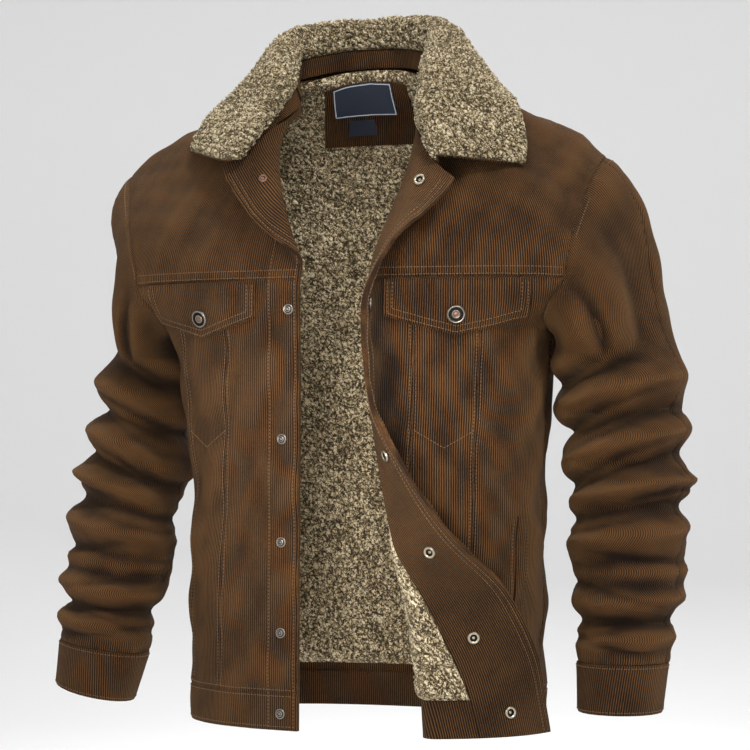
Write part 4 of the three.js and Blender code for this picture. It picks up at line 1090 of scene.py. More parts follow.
def pile_relief(u, v, clump, seed):
    u = u + 2.2 * soft_noise(u, v, 9.0, seed) + 1.2 * soft_noise(u, v, 4.0, seed + 1)
    v = v + 2.2 * soft_noise(v, u, 9.0, seed + 2) + 1.2 * soft_noise(v, u, 4.0, seed + 3)
    small = clumps(u + 40, v, clump * SMALL_CLUMP, seed + 4)
    return MAIN_SHARE * clumps(u, v, clump, seed) + SMALL_SHARE * small


sample = pile_relief(*np.meshgrid(np.arange(0, 60, 1.5), np.arange(0, 60, 1.5)), 6, 1)
print("pile height from %.2f to %.2f of a clump" % (sample.min(), sample.max()))

# %% [markdown]
# ## Cloth pieces
# One function turns a coarse grid of a surface into a finished cloth: it refines the grid, adds the relief
# of its seams, gives it its thickness inward, and lays the UV map so that wales run down the cloth.

# %% Making a cloth
CLOTH_STEP = 4.6
SMOOTHING = 12
RIDGE_HEIGHT = 2.2
RIM_SHIFT = 0.28 * WALE
made = {}

# How many rows and columns one cell of a hidden side spans. It is one across a tight fold.
INNER_STEPS = {
    "back_panel": (4, 3), "back_yoke": (3, 3), "hem_band_back": (1, 3), "hem_band": (2, 1),
    "front_yoke": (2, 1), "centre_front": (4, 1), "middle_front": (4, 1), "side_front": (4, 2),
    "facing": (4, 1), "sleeve_front": (1, 3), "sleeve_back": (1, 3), "collar_under": (1, 3),
    "collar_top": (2, 6), "lining_back": (6, 4), "lining_front": (6, 2),
}
HANGS_FROM = {
    "front_yoke": "back_yoke", "centre_front": "front_yoke", "middle_front": "front_yoke",
    "side_front": "front_yoke", "hem_band": "centre_front", "facing": "front_yoke",
    "lining_front": "front_yoke", "back_yoke": "front_yoke", "back_panel": "back_yoke",
    "hem_band_back": "back_panel", "lining_back": "back_yoke", "sleeve_front": "front_yoke",
    "sleeve_back": "back_yoke", "cuff": "sleeve_front", "pocket_flap": "front_yoke",
    "pocket_welt": "side_front", "collar_under": "back_yoke", "collar_top": "collar_under",
    "neck_stand": "collar_under", "neck_patch": "lining_back", "label": "neck_patch",
    "size_tab": "neck_patch",
}
LEAST_AREA = 0.3
RIM_ROUNDING = 0.7
RIM_SHARE = 0.25


def kind_of(node):
    return node[:-2] if node[-2:] in ("_r", "_l") else node


def declare_cloth(node, grid):
    """Works out the part the cloth hangs from, its longest run each way and the area of the surface it
    covers, but keeps none of them.
    """
    holder = HANGS_FROM[kind_of(node)]
    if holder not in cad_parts:
        holder = f"{holder}_{node[-1] if node != kind_of(node) else 'r'}"
    down, across = cloth_places(grid)[:2]
    width = float(across.max()) * MM
    length = float(down.max()) * MM
    diagonal = grid[1:, 1:] - grid[:-1, :-1]
    one = np.linalg.norm(np.cross(grid[1:, :-1] - grid[:-1, :-1], diagonal), axis=-1)
    two = np.linalg.norm(np.cross(diagonal, grid[:-1, 1:] - grid[:-1, :-1]), axis=-1)
    area = float(one.sum() + two.sum()) / 2 * MM * MM
    area = min(max(area, LEAST_AREA * width * length), width * length)


def finish_piece(piece, node, finish, grid):
    piece.data.materials.append(finish)
    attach(piece, "root")
    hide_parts(node)
    declare_cloth(node, grid)
    made[node] = piece


def cloth(node, grid, outward, top, bottom, sewn="tblr", step=CLOTH_STEP, uneven=1):
    """Top and bottom are depths under the surface, and sewn holds the first letters of the sewn edges."""
    grid = refine(grid, step)
    facing = facing_of(grid, outward)
    down, across, up, back = cloth_places(grid)
    relief = uneven * drape(grid)
    edges = {"t": (down, across), "b": (up, across), "l": (across, down), "r": (back, down)}
    for edge in sewn:
        relief = relief + seam_relief(*edges[edge])
    relief = np.maximum(relief, THINNEST * (bottom - top) / CORD)
    outer = grid + facing * (relief - top)[..., None]
    inner = grid - facing * bottom
    uv = np.stack([across + RIM_SHIFT, down], axis=-1)
    rounding = min(RIM_ROUNDING, (bottom - top) * RIM_SHARE)
    steps = INNER_STEPS.get(kind_of(node), (1, 1))
    # Each point's height over its neighbours is kept for the colour: painted shade in the fold troughs, and
    # paler ridges, partly wear and partly painted highlight.
    marks = [("fold_shade_and_wear", ridges(outer, facing), 0)]
    piece = closed_shell("cloth_" + node, outer, inner, uv, False, rounding, steps, marks)
    finish_piece(piece, node, CORDUROY, grid)


def ridges(grid, facing):
    """How far each point stands over its surroundings, from -1 in a deep trough to 1 on a high ridge."""
    even = grid
    for _ in range(SMOOTHING):
        for axis in (0, 1):
            padded = np.concatenate([np.take(even, [0], axis), even, np.take(even, [-1], axis)], axis)
            count = even.shape[axis]
            parts = [np.take(padded, np.arange(k, k + count), axis) for k in range(3)]
            even = (parts[0] + 2 * parts[1] + parts[2]) / 4
    return np.clip(np.sum((grid - even) * facing, axis=-1) / RIDGE_HEIGHT, -1, 1)


def grid_of(surface, columns, rows):
    columns = np.asarray(columns, float)
    rows = np.asarray(rows, float)
    if columns.ndim == 1:
        columns = np.broadcast_to(columns[None, :], (len(rows), len(columns)))
    return surface(columns, np.broadcast_to(rows[:, None], columns.shape))


print("cloth meshes have a point every %.1f mm" % CLOTH_STEP)

# %% [markdown]
# The fronts are sewn of a yoke, a centre, a middle and a side panel and a hem band, with the wales upright.

# %% Front panels
SEAM = 0.2
BAND_MEETS = 0.9


def inner_seam(level):
    return mix(82, 100, np.clip(level - 1, 0, 1))


def outer_seam(level):
    return mix(150, 158, np.clip(level - 1, 0, 1))


def side_seam(side, level):
    z = row_height(level)
    turn = np.where(z > UNDERARM_Z, armhole_turn(side, True, z), 90)
    return front_reach(side, turn, z)


def front_ends(side, node, level):
    level = np.maximum(level, 1)
    armhole_reach = side_seam(side, level)
    return {
        "centre_front": (0 * level, inner_seam(level)),
        "middle_front": (inner_seam(level), outer_seam(level)),
        "side_front": (outer_seam(level), armhole_reach),
        "hem_band": (0 * level, armhole_reach + BAND_MEETS),
        "facing": (0 * level, 0 * level + FACING_WIDTH),
        "lining_front": (0 * level + FACING_WIDTH, armhole_reach),
    }[node]


def front_grid(side, node, top_level, bottom_level, rows, columns, edge=SEAM):
    levels = np.linspace(top_level, bottom_level, rows)
    if node == "front_yoke":
        starts = np.zeros(rows)
        ends = np.full(rows, yoke_width(side))
    else:
        starts, ends = front_ends(side, node, levels)
        if node in ("facing", "lining_front"):
            ends = np.where(levels < 1, FACING_WIDTH if node == "facing" else yoke_width(side), ends)
    share = np.linspace(0, 1, columns)
    s = mix((starts + edge)[:, None], (ends - edge)[:, None], share[None, :])
    return grid_of(partial(front_surface, side), s, levels)


TOP_LEVEL = 0.002
SEAM_LEVEL = SEAM / (FRONT_YOKE_Z - HEM_Z)
TUCK = 1.6
BAND_UNEVEN = 0.8
PANEL_COLUMNS = {"centre_front": 22, "middle_front": 12, "side_front": 16}
for side in SIGN:
    outward = -SIGN[side]
    grid = front_grid(side, "front_yoke", TOP_LEVEL, 1 - SEAM_LEVEL, 24, 48)
    cloth(f"front_yoke_{side}", grid, outward, 0, CORD)
    for node, columns in PANEL_COLUMNS.items():
        grid = front_grid(side, node, 1 + SEAM_LEVEL, level_of(BAND_Z - TUCK), 56, columns)
        cloth(f"{node}_{side}", grid, outward, 0, CORD)
    band = front_grid(side, "hem_band", level_of(BAND_Z) + SEAM_LEVEL, 2, 7, 56)
    cloth(f"hem_band_{side}", band, outward, 0, BAND_WALL, "tb", uneven=BAND_UNEVEN)
print("front pieces:", len(made))

# %% [markdown]
# The back is a yoke, one wide panel and its hem band.

# %% Back panels
BACK_SEAM_LEVEL = SEAM / (BACK_YOKE_Z - HEM_Z)
ACROSS = np.linspace(-0.999, 0.999, 64)
BACK_BAND = back_level_of(BAND_Z)
back_rows = {
    "back_yoke": (np.linspace(TOP_LEVEL, 1 - BACK_SEAM_LEVEL, 22), CORD, "tblr"),
    "back_panel": (np.linspace(1 + BACK_SEAM_LEVEL, back_level_of(BAND_Z - TUCK), 60), CORD, "tblr"),
    "hem_band_back": (np.linspace(BACK_BAND + BACK_SEAM_LEVEL, 2, 7), BAND_WALL, "tb"),
}
for node, (rows, wall, sewn) in back_rows.items():
    cloth(node, grid_of(back_surface, ACROSS, rows), 1, 0, wall, sewn)
print("pieces with the back:", len(made))

# %% [markdown]
# Each sleeve is cut as a top and an under sleeve, joined along the arm, with a cuff at the wrist.

# %% Sleeves and cuffs
FRONT_SEAM_TURN = 14
BACK_SEAM_TURN = 188
TURN_INSET = 0.2
SLEEVE_HALVES = {
    "front": (FRONT_SEAM_TURN + TURN_INSET, BACK_SEAM_TURN - TURN_INSET),
    "back": (BACK_SEAM_TURN + TURN_INSET, 360 + FRONT_SEAM_TURN - TURN_INSET),
}
SLEEVE_ROWS = np.concatenate([np.linspace(TOP_LEVEL, 1, 22)[:-1], np.linspace(1, 1.999, 72)])
SLEEVE_UNEVEN = 0.7
CUFF_ROWS = np.linspace(2.006, 2.994, 9)
CUFF_RISE = 0.8
CUFF_DROP = 2.6
for side in SIGN:
    surface = partial(sleeve_surface, side)
    for half, turns in SLEEVE_HALVES.items():
        grid = grid_of(surface, np.linspace(*turns, 30), SLEEVE_ROWS)
        cloth(f"sleeve_{half}_{side}", grid, SIGN[side], 0, CORD, uneven=SLEEVE_UNEVEN)
    closed = refine(grid_of(surface, np.linspace(0, 360, 65), CUFF_ROWS), CLOTH_STEP)
    grid = closed[:, :-1]
    closed = np.concatenate([grid, grid[:, :1]], axis=1)
    facing = facing_of(np.concatenate([grid[:, -1:], closed], axis=1), SIGN[side])[:, 1:-1]
    down, across, up, back = cloth_places(closed)
    relief = (seam_relief(down, across) + seam_relief(up, across))[:, :-1]
    outer = grid + facing * (relief + CUFF_RISE)[..., None]
    uv = np.stack([across, down], axis=-1)
    piece = closed_shell(f"cloth_cuff_{side}", outer, grid - facing * CUFF_DROP, uv, tube=True)
    finish_piece(piece, f"cuff_{side}", CORDUROY, closed)
print("pieces with the sleeves:", len(made))

# %% [markdown]
# Pocket flaps are pointed and lie on the panels, held by their upper seam and a snap. A welt edges each
# side pocket.

# %% Flaps and welts
FLAP_START = {"r": 47, "l": 53}
FLAP_WIDTH = {"r": 132, "l": 148}
FLAP_SIDE_DEPTH = 37
FLAP_TIP_DEPTH = 57
FLAP_LIFT = 1
FLAP_WALL = 3
WELT_REACH = 206
WELT_WIDTH = 12
WELT_Z = (-462, -592)
WELT_OUT = 3
WELT_LIFT = 0.6
SMALL_STEP = 2.6
for side in SIGN:
    share = np.linspace(0, 1, 33)
    depths = mix(FLAP_TIP_DEPTH, FLAP_SIDE_DEPTH, np.abs(share - 0.5) * 2)
    z = FRONT_YOKE_Z - 1 - np.linspace(0, 1, 12)[:, None] * depths[None, :]
    reach = np.broadcast_to(FLAP_START[side] + share * FLAP_WIDTH[side], z.shape)
    grid = front_surface(side, reach, level_of(z))
    cloth(f"pocket_flap_{side}", grid, -SIGN[side], -FLAP_LIFT - FLAP_WALL, -FLAP_LIFT, step=SMALL_STEP)
    reach = WELT_REACH + np.linspace(0, WELT_WIDTH, 6)
    grid = grid_of(partial(front_surface, side), reach, np.linspace(*level_of(np.array(WELT_Z)), 20))
    cloth(f"pocket_welt_{side}", grid, -SIGN[side], -WELT_OUT, -WELT_LIFT, "", SMALL_STEP)
print("pieces with the pockets:", len(made))

# %% [markdown]
# Inside the fronts a facing of the same corduroy backs the edge, and pile lines the rest.

# %% Facings and the collar's corduroy
SHELL = CORD + LAYER_GAP
FACING_TUCK = 0.3
STAND_TOP = 0.13
STAND_REACH = 0.62
COLLAR_PILE = 7
HALF_GAP = 0.15
UNDER_HEIGHTS = np.linspace(0.004, 0.996, 30)
NECK_HEIGHTS = np.linspace(0.006, STAND_TOP - 0.006, 5)


def collar_grid(reach, heights, columns):
    places = np.linspace(0, reach, columns)
    halves = [grid_of(partial(collar_surface, half), places, heights) for half in ("r", "l")]
    return np.concatenate([halves[0][:, :0:-1], halves[1]], axis=1)


for side in SIGN:
    grid = front_grid(side, "facing", TOP_LEVEL, 2 - 0.0005, 90, 14, 0.1)
    cloth(f"facing_{side}", grid, -SIGN[side], CORD - FACING_TUCK, SHELL + CORD, "", uneven=0)
cloth("collar_under", collar_grid(1, UNDER_HEIGHTS, 50), 1, HALF_GAP, CORD, "", uneven=0)
cloth("neck_stand", collar_grid(STAND_REACH, NECK_HEIGHTS, 30), 1, -CORD, -HALF_GAP, "", uneven=0)
print("pieces with the collar's corduroy:", len(made))

# %% [markdown]
# The pile pieces are fine grids whose visible face is raised into clumps. The collar's pile is the longest,
# with clumps of about 6 mm, and the lining's are nearer 5 mm.

# %% Pile pieces
EDGE_ROLL = 6
EDGE_THIN = 0.35
MEAN_RELIEF = 0.55
INSIDE_PILE = 0.25

# The clump, its rise and the spacing of the mesh in millimetres, the finish and its slot.
COLLAR_LOOK = (6.6, 5.4, 1.7, COLLAR_SHERPA, "collar_sherpa")
LINING_LOOK = (5.8, 3.8, 2.7, LINING_SHERPA_PAINTED_LIGHT, "lining_sherpa")


def pile_piece(node, grid, outward, back_depth, pile_depth, look):
    clump, rise, step, finish, slot_name = look
    grid = refine(grid, step, crowded=False)
    facing = facing_of(grid, outward)
    down, across, up, back = cloth_places(grid)
    relief = pile_relief(across, down, clump, len(made) + 11)
    rim = np.minimum(np.minimum(down, up), np.minimum(across, back))
    roll = np.sqrt(np.clip(rim / EDGE_ROLL, 0, 1))
    deep = pile_depth * (EDGE_THIN + (1 - EDGE_THIN) * roll)
    toward = 1 if pile_depth < 0 else -1
    lift = toward * rise * (relief - MEAN_RELIEF) * (0.5 + 0.5 * roll)
    face = grid + facing * (lift - deep)[..., None]
    base = grid - facing * back_depth
    uv = np.stack([across, down], axis=-1)
    # The depth in the pile is kept for the colour, which paints shade between the clumps and highlight on
    # their tops.
    marks = [("pile", relief, INSIDE_PILE)]
    piece = closed_shell("pile_" + node, face, base, uv, False, 0, INNER_STEPS[kind_of(node)], marks)
    finish_piece(piece, node, finish, grid)
    print(node, "faces:", len(piece.data.polygons))


collar_pile = collar_grid(1, np.linspace(STAND_TOP + 0.004, 1, 34), 56)
pile_piece("collar_top", collar_pile, 1, -HALF_GAP, -COLLAR_PILE, COLLAR_LOOK)
rows = np.linspace(TOP_LEVEL, 2 - BACK_SEAM_LEVEL, 90)
back_lining = grid_of(back_surface, np.linspace(-0.99, 0.99, 64), rows[rows < BACK_BAND])
pile_piece("lining_back", back_lining, 1, SHELL, SHELL + SHERPA, LINING_LOOK)
for side in SIGN:
    lining = front_grid(side, "lining_front", TOP_LEVEL, level_of(BAND_Z), 80, 26, 0.6)
    pile_piece(f"lining_front_{side}", lining, -SIGN[side], SHELL, SHELL + SHERPA, LINING_LOOK)

# %% [markdown]
# A woven label and a size tab are sewn on a corduroy patch inside the neck. The real label is a damask
# ribbon, smooth and slightly shiny, with a pale border line. It is left bare here. The line is placed by
# each point's distance to the label's edge, kept with the mesh.

# %% Neck patch, label and size tab
def woven_ribbon(name, ground, line, line_from, line_to):
    finish, tree, shader = new_finish(name, Roughness=0.55)
    rim = add(tree, "ShaderNodeAttribute", {"attribute_name": "rim"}).outputs["Fac"]
    colour = ramp(tree, rim, [(0, ground), (line_from, line), (line_to, line), (line_to + 0.02, ground)])
    colour.node.color_ramp.interpolation = "CONSTANT"
    tree.links.new(colour, shader.inputs["Base Color"])
    uv = add(tree, "ShaderNodeUVMap", {"uv_map": "UVMap"}).outputs["UV"]
    weave = add(
        tree, "ShaderNodeTexWave", {"bands_direction": "DIAGONAL"}, {"Vector": uv},
        {"Scale": WAVE_LENGTH_AT_ONE / (THREAD * MM)},
    ).outputs["Fac"]
    bump = add(tree, "ShaderNodeBump", {}, {"Height": weave}, {"Strength": 0.4, "Distance": 0.3 * MM})
    tree.links.new(bump.outputs["Normal"], shader.inputs["Normal"])
    return finish


# Real label threads lie 0.3 mm apart, which is finer than the picture shows.
THREAD = 1.0
RIM_SCALE = 10.0
LINING_DEPTH = SHELL + SHERPA
PATCH_DEPTH = LINING_DEPTH + 1.9
LABEL_DEPTH = PATCH_DEPTH + CORD + 1.3
TAB_DEPTH = PATCH_DEPTH + CORD + 0.5
LABEL_WALL = 0.8
LABEL_RIBBON = woven_ribbon("navy damask label ribbon", "#1F2838", "#C6CCD4", 0.10, 0.19)
TAB_RIBBON = woven_ribbon("navy tab ribbon", "#1A2130", "#1F2838", 0.9, 0.95)
TRIM_STEP = 1.5
TRIM_ROUNDING = 0.2

# Across at the left and right, each above and below, then the rows, the depth, the wall and the finish.
NECK_TRIM = {
    "neck_patch": ((-0.205, -0.16), (0.16, 0.12), (0.07, 0.44), PATCH_DEPTH, CORD, CORDUROY),
    "label": ((-0.18, -0.14), (0.09, 0.075), (0.075, 0.27), LABEL_DEPTH, LABEL_WALL, LABEL_RIBBON),
    "size_tab": ((-0.08, -0.08), (0, 0), (0.29, 0.38), TAB_DEPTH, LABEL_WALL, TAB_RIBBON),
}
for node, (left, right, rows, depth, wall, finish) in NECK_TRIM.items():
    levels = np.linspace(*rows, 16)
    fall = (levels - rows[0]) / (rows[1] - rows[0])
    share = np.linspace(0, 1, 20)
    across = mix(mix(*left, fall)[:, None], mix(*right, fall)[:, None], share[None, :])
    grid = refine(grid_of(back_surface, across, levels), TRIM_STEP, crowded=False)
    facing = facing_of(grid, 1)
    down, along, up, back = cloth_places(grid)
    uv = np.stack([along, down], axis=-1)
    rim = np.minimum(np.minimum(down, up), np.minimum(along, back)) / RIM_SCALE
    outer = grid - facing * (depth + wall)
    inner = grid - facing * depth
    marks = [("rim", rim, 0)]
    piece = closed_shell("cloth_" + node, outer, inner, uv, False, TRIM_ROUNDING, (2, 2), marks)
    finish_piece(piece, node, finish, grid)
print("pieces with the neck trim:", len(made))

# %% [markdown]
# ## Top stitching
# Each seam is sewn again from outside in a tan core-spun thread. A stitch is about 3 mm long, rises over
# the cloth and dives at its ends. One small stitch mesh is copied along every row, and each row of the
# jacket's fronts, back and sleeves is joined into a few pieces.

# %% Stitch rows
STITCH = 2.7
STITCH_PITCH = 3.7
THREAD_RADIUS = 0.42
STITCH_SIDES = 5
STITCH_RINGS = ((-0.5, 0.3, -0.35), (-0.3, 1, 0.1), (0.3, 1, 0.1), (0.5, 0.3, -0.35))
THREAD_LIFT = 0.25
YOKE_SAMPLE = 0.05
BAG_REACH = (90, 122, 152)
BAG_Z = (-375, -393, -375)
TURN_AT = 0.6
stitch_rows = {}


def stitch_row(group, places, facing):
    """Adds a row of stitches along a line of points, on a cloth that faces the given way."""
    steps = np.linalg.norm(np.diff(places, axis=0), axis=-1)
    lengths = np.concatenate([[0], np.cumsum(steps)])
    count = max(1, int(lengths[-1] / STITCH_PITCH))
    at = (np.arange(count) + 0.5) * lengths[-1] / count

    def along(values, where):
        return np.stack([np.interp(where, lengths, values[:, k]) for k in range(3)], axis=-1)

    middle = along(places, at)
    run = unit(along(places, at + TURN_AT) - along(places, at - TURN_AT))
    up = unit(along(facing, at))
    across = unit(np.cross(up, run))
    angles = np.linspace(0, 2 * math.pi, STITCH_SIDES + 1)[:-1]
    template = []
    for share, size, lift in STITCH_RINGS:
        radius = size * THREAD_RADIUS
        for angle in angles:
            height = lift + THREAD_LIFT + radius * math.sin(angle)
            template.append((share * STITCH, radius * math.cos(angle), height))
    ways = zip((run, across, up), np.array(template).T)
    mesh_points = sum((way[:, None] * size[None, :, None] for way, size in ways), middle[:, None])
    stitch_rows.setdefault(group, []).append(mesh_points.reshape(-1, 3))


thread, thread_tree, thread_shader = new_finish("tan core-spun thread", Roughness=0.7, Sheen_Weight=0.2)
ply = add(thread_tree, "ShaderNodeTexNoise", {}, {}, {"Scale": 700.0, "Detail": 2.0}).outputs["Fac"]
thread_colour = ramp(thread_tree, ply, [(0.3, "#5A3F26"), (0.7, "#86643F")])
thread_tree.links.new(thread_colour, thread_shader.inputs["Base Color"])
print("stitches %.1f mm long, every %.1f mm" % (STITCH, STITCH_PITCH))

# %% [markdown]
# The fronts carry most of the rows: two above the yoke seam and two beside each panel seam, two down the
# edge outside and two inside, and two round each flap. A row sinks as far as the seam beside it pulls.

# %% Stitches of the fronts
YOKE_ROWS = (2.8, 10)
SEAM_BESIDE = 3
BAND_BESIDE = 3.2
HEM_ABOVE = 4
OUTSIDE_ROWS = (4.5, 33)
INSIDE_ROWS = (4.5, 9.5)
INSIDE_DEPTH = SHELL + CORD + 0.1
FLAP_ROWS = (3.2, 9.2)
FLAP_OUT = FLAP_LIFT + FLAP_WALL + 0.1
FLAP_SLANT = 1.05
WELT_BESIDE = 3.5
FREE = 9.0


def front_row(group, side, reach, level, distance, depth=0.0):
    reach, level = np.broadcast_arrays(np.asarray(reach, float), np.asarray(level, float))
    place = front_surface(side, reach, level)
    across = front_surface(side, reach + 1, level) - front_surface(side, reach - 1, level)
    down = front_surface(side, reach, level + 0.004) - front_surface(side, reach, level - 0.004)
    facing = unit(np.cross(across, down)) * -SIGN[side]
    if depth > 0:
        stitch_row(group, place - facing * depth, -facing)
        return
    sink = SEAM_DIP * math.exp(-((distance / SEAM_REACH) ** 2))
    rise = np.maximum(drape(place) - sink, THINNEST)
    stitch_row(group, place + facing * (rise - depth)[..., None], facing)


for side in SIGN:
    name = f"stitches_front_{side}"
    wide = np.linspace(4, yoke_width(side) - 4, 60)
    yoke_run = np.linalg.norm(yoke_base(side, wide, 1.0) - yoke_base(side, wide, 1 - YOKE_SAMPLE), axis=-1)
    for above in YOKE_ROWS:
        front_row(name, side, wide, 1 - above / yoke_run * YOKE_SAMPLE, above)
    tall = level_of(np.linspace(FRONT_YOKE_Z - 6, BAND_Z + 3, 110))
    for seam in (inner_seam, outer_seam):
        for beside in (-SEAM_BESIDE, SEAM_BESIDE):
            front_row(name, side, seam(tall) + beside, tall, SEAM_BESIDE)
    band = np.linspace(3, float(side_seam(side, level_of(BAND_Z))) - 3, 90)
    for z in (BAND_Z + BAND_BESIDE, BAND_Z - BAND_BESIDE, HEM_Z + HEM_ABOVE):
        front_row(name, side, band, level_of(z), BAND_BESIDE)
    tall = np.concatenate([np.linspace(0.1, 1, 40)[:-1], np.linspace(1, 1.995, 130)])
    for reach in OUTSIDE_ROWS:
        front_row(name, side, reach, tall, 4.0)
    for reach in INSIDE_ROWS:
        front_row(name, side, reach, tall, 4.0, INSIDE_DEPTH)
    flap = f"stitches_flap_{side}"
    for inset in FLAP_ROWS:
        share = np.linspace(inset, FLAP_WIDTH[side] - inset, 60) / FLAP_WIDTH[side]
        reach = FLAP_START[side] + share * FLAP_WIDTH[side]
        drop = mix(FLAP_TIP_DEPTH, FLAP_SIDE_DEPTH, np.abs(share - 0.5) * 2) - inset * FLAP_SLANT
        front_row(flap, side, reach, level_of(FRONT_YOKE_Z - 1 - drop), BAND_BESIDE, -FLAP_OUT)
        for end in (0, -1):
            height = np.linspace(FRONT_YOKE_Z - 4, FRONT_YOKE_Z - 1 - drop[end], 14)
            front_row(flap, side, reach[end], level_of(height), BAND_BESIDE, -FLAP_OUT)
    bag_reach, bag_z = (np.interp(np.linspace(0, 1, 40), (0, 0.5, 1), bag) for bag in (BAG_REACH, BAG_Z))
    front_row(name, side, bag_reach, level_of(bag_z), FREE)
    lip = level_of(np.linspace(WELT_Z[0] - 3, WELT_Z[1] + 3, 40))
    for beside in (-WELT_BESIDE, WELT_WIDTH + WELT_BESIDE):
        front_row(name, side, WELT_REACH + beside, lip, FREE)
print("rows on each front:", len(stitch_rows["stitches_front_r"]))

# %% [markdown]
# The back has two rows above its yoke seam and three at its hem band. Each sleeve has one at the armhole
# and two round the cuff. Then each group's stitches become one mesh.

# %% Stitches of the back and sleeves
BACK_YOKE_ROWS = (3.2, 9.5)
BACK_YOKE_DROP = 150
BACK_SINK = 0.3
SLEEVE_ROWS_AT = ((0.035, -0.3), (2.07, 0.6), (2.93, 0.6))
wide = np.linspace(-0.98, 0.98, 140)
back_levels = [1 - above / BACK_YOKE_DROP for above in BACK_YOKE_ROWS]
back_levels += [back_level_of(z) for z in (BAND_Z + BAND_BESIDE, BAND_Z - BAND_BESIDE, HEM_Z + HEM_ABOVE)]
for level in back_levels:
    levels = np.full(wide.shape, level)
    place = back_surface(wide, levels)
    run = back_surface(wide + 0.004, levels) - back_surface(wide - 0.004, levels)
    fall = back_surface(wide, levels + 0.004) - back_surface(wide, levels - 0.004)
    facing = unit(np.cross(run, fall))
    facing = facing * np.sign((facing[:, 1:2] > 0) - 0.5)
    rise = np.maximum(drape(place) - BACK_SINK, THINNEST)
    stitch_row("stitches_back", place + facing * rise[:, None], facing)
for side in SIGN:
    turns = np.linspace(0, 360, 90)
    for at, rise in SLEEVE_ROWS_AT:
        run = sleeve_surface(side, turns + 1, at) - sleeve_surface(side, turns - 1, at)
        fall = sleeve_surface(side, turns, at + 0.01) - sleeve_surface(side, turns, at - 0.01)
        facing = unit(np.cross(run, fall)) * SIGN[side]
        stitch_row(f"stitches_sleeve_{side}", sleeve_surface(side, turns, at) + facing * rise, facing)

rings = len(STITCH_RINGS)
stitch_faces = ring_faces(rings, STITCH_SIDES)
caps = (range(STITCH_SIDES)[::-1], range((rings - 1) * STITCH_SIDES, rings * STITCH_SIDES))
for name, rows in stitch_rows.items():
    vertices = np.concatenate(rows) * MM
    starts = range(0, len(vertices), rings * STITCH_SIDES)
    faces = [[start + k for k in face] for start in starts for face in stitch_faces]
    faces += [[start + k for k in cap] for start in starts for cap in caps]
    mesh = bpy.data.meshes.new(name)
    mesh.from_pydata(vertices.tolist(), [], faces)
    mesh.materials.append(thread)
    piece = put(name, mesh)
    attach(piece, "root")
    print(name, "stitches:", len(starts))

# %% [markdown]
# ## Press snaps
# The snaps are die-cast and plated with an antique finish: bright on the rims and nearly black in the
# recesses, where the dark wash stays. Each is turned from its own profile round an axis, on the seat that
# the frame gives, and its marks are plain dots.

# %% Snaps
def plated(name, hex_colour, rough):
    finish, tree, shader = new_finish(name, Metallic=1.0, Roughness=rough)
    scuff = add(tree, "ShaderNodeTexNoise", {}, {}, {"Scale": 900.0, "Detail": 4.0})
    tone = ramp(tree, scuff.outputs["Fac"], [(0.2, hex_colour[0]), (0.75, hex_colour[1])])
    tree.links.new(tone, shader.inputs["Base Color"])
    scratches = {"Strength": 0.2, "Distance": 0.2 * MM}
    bump = add(tree, "ShaderNodeBump", {}, {"Height": scuff.outputs["Fac"]}, scratches)
    tree.links.new(bump.outputs["Normal"], shader.inputs["Normal"])
    return finish


SILVER = plated("antique silver plate", ("#6F6A62", "#B5AFA5"), 0.34)
DARK_WASH = plated("dark wash in the recess", ("#15120F", "#3A342E"), 0.6)
COPPER = plated("antique copper plate", ("#6E4E40", "#A07E6C"), 0.32)
PALE_BRASS = plated("pale brass plate", ("#A79C84", "#DAD1BC"), 0.3)
SNAP_FINISHES = (SILVER, DARK_WASH, COPPER, PALE_BRASS)

# Radius and height in millimetres, the finish that starts there, and the height of the dots on it.
SNAP_PROFILES = {
    "snap_stud": (
        (5.2, 0, 0, 0), (5.3, 0.7, 0, 0), (4.6, 1.3, 0, 0), (4, 1.1, 1, 0), (3.1, 1, 0, 0),
        (2.9, 2.3, 0, 0), (2.1, 2.6, 1, 0), (1.2, 2.1, 0, 0), (0, 2.2, 0, 0),
    ),
    "snap_post": (
        (4.6, 0, 0, 0), (4.6, 0.6, 0, 0), (4, 1.2, 2, 0), (2.6, 1.2, 1, 0), (1.8, 0.7, 2, 0), (0, 0.9, 2, 0),
    ),
    "snap_cap": (
        (7, 0, 0, 0), (7, 1, 0, 0), (6.2, 1.8, 0, 0), (5.4, 1.3, 1, 0.4), (3.4, 1.3, 0, 0), (3, 1.8, 2, 0),
        (0, 1.9, 2, 0),
    ),
    "snap_socket": (
        (6.2, 0, 3, 0), (6.3, 1.2, 3, 0), (5.6, 2.5, 3, 0), (4.5, 2.6, 3, 0), (3.6, 2, 1, 0),
        (3.3, 0.7, 1, 0), (1.6, 0.6, 3, 0), (1.2, 1.1, 3, 0), (0, 1.1, 3, 0),
    ),
    "flap_snap": (
        (9.2, 0, 0, 0), (9.3, 1.3, 0, 0), (8.5, 2.4, 0, 0), (7.6, 2.2, 1, 0), (7.1, 1.6, 1, 0.7),
        (4.9, 1.6, 1, 0.7), (4.3, 1.7, 0, 0), (3.9, 2.3, 0, 0), (3.2, 2.2, 1, 0), (2.9, 1.9, 2, 0),
        (0, 2.3, 2, 0),
    ),
}
SNAP_SIDES = 48
DOTS = 12
DOT_HEIGHT = 0.8
PROFILE_STEPS = 3
COPPER_SNAPS = ("snap_post_1", "snap_stud_1")


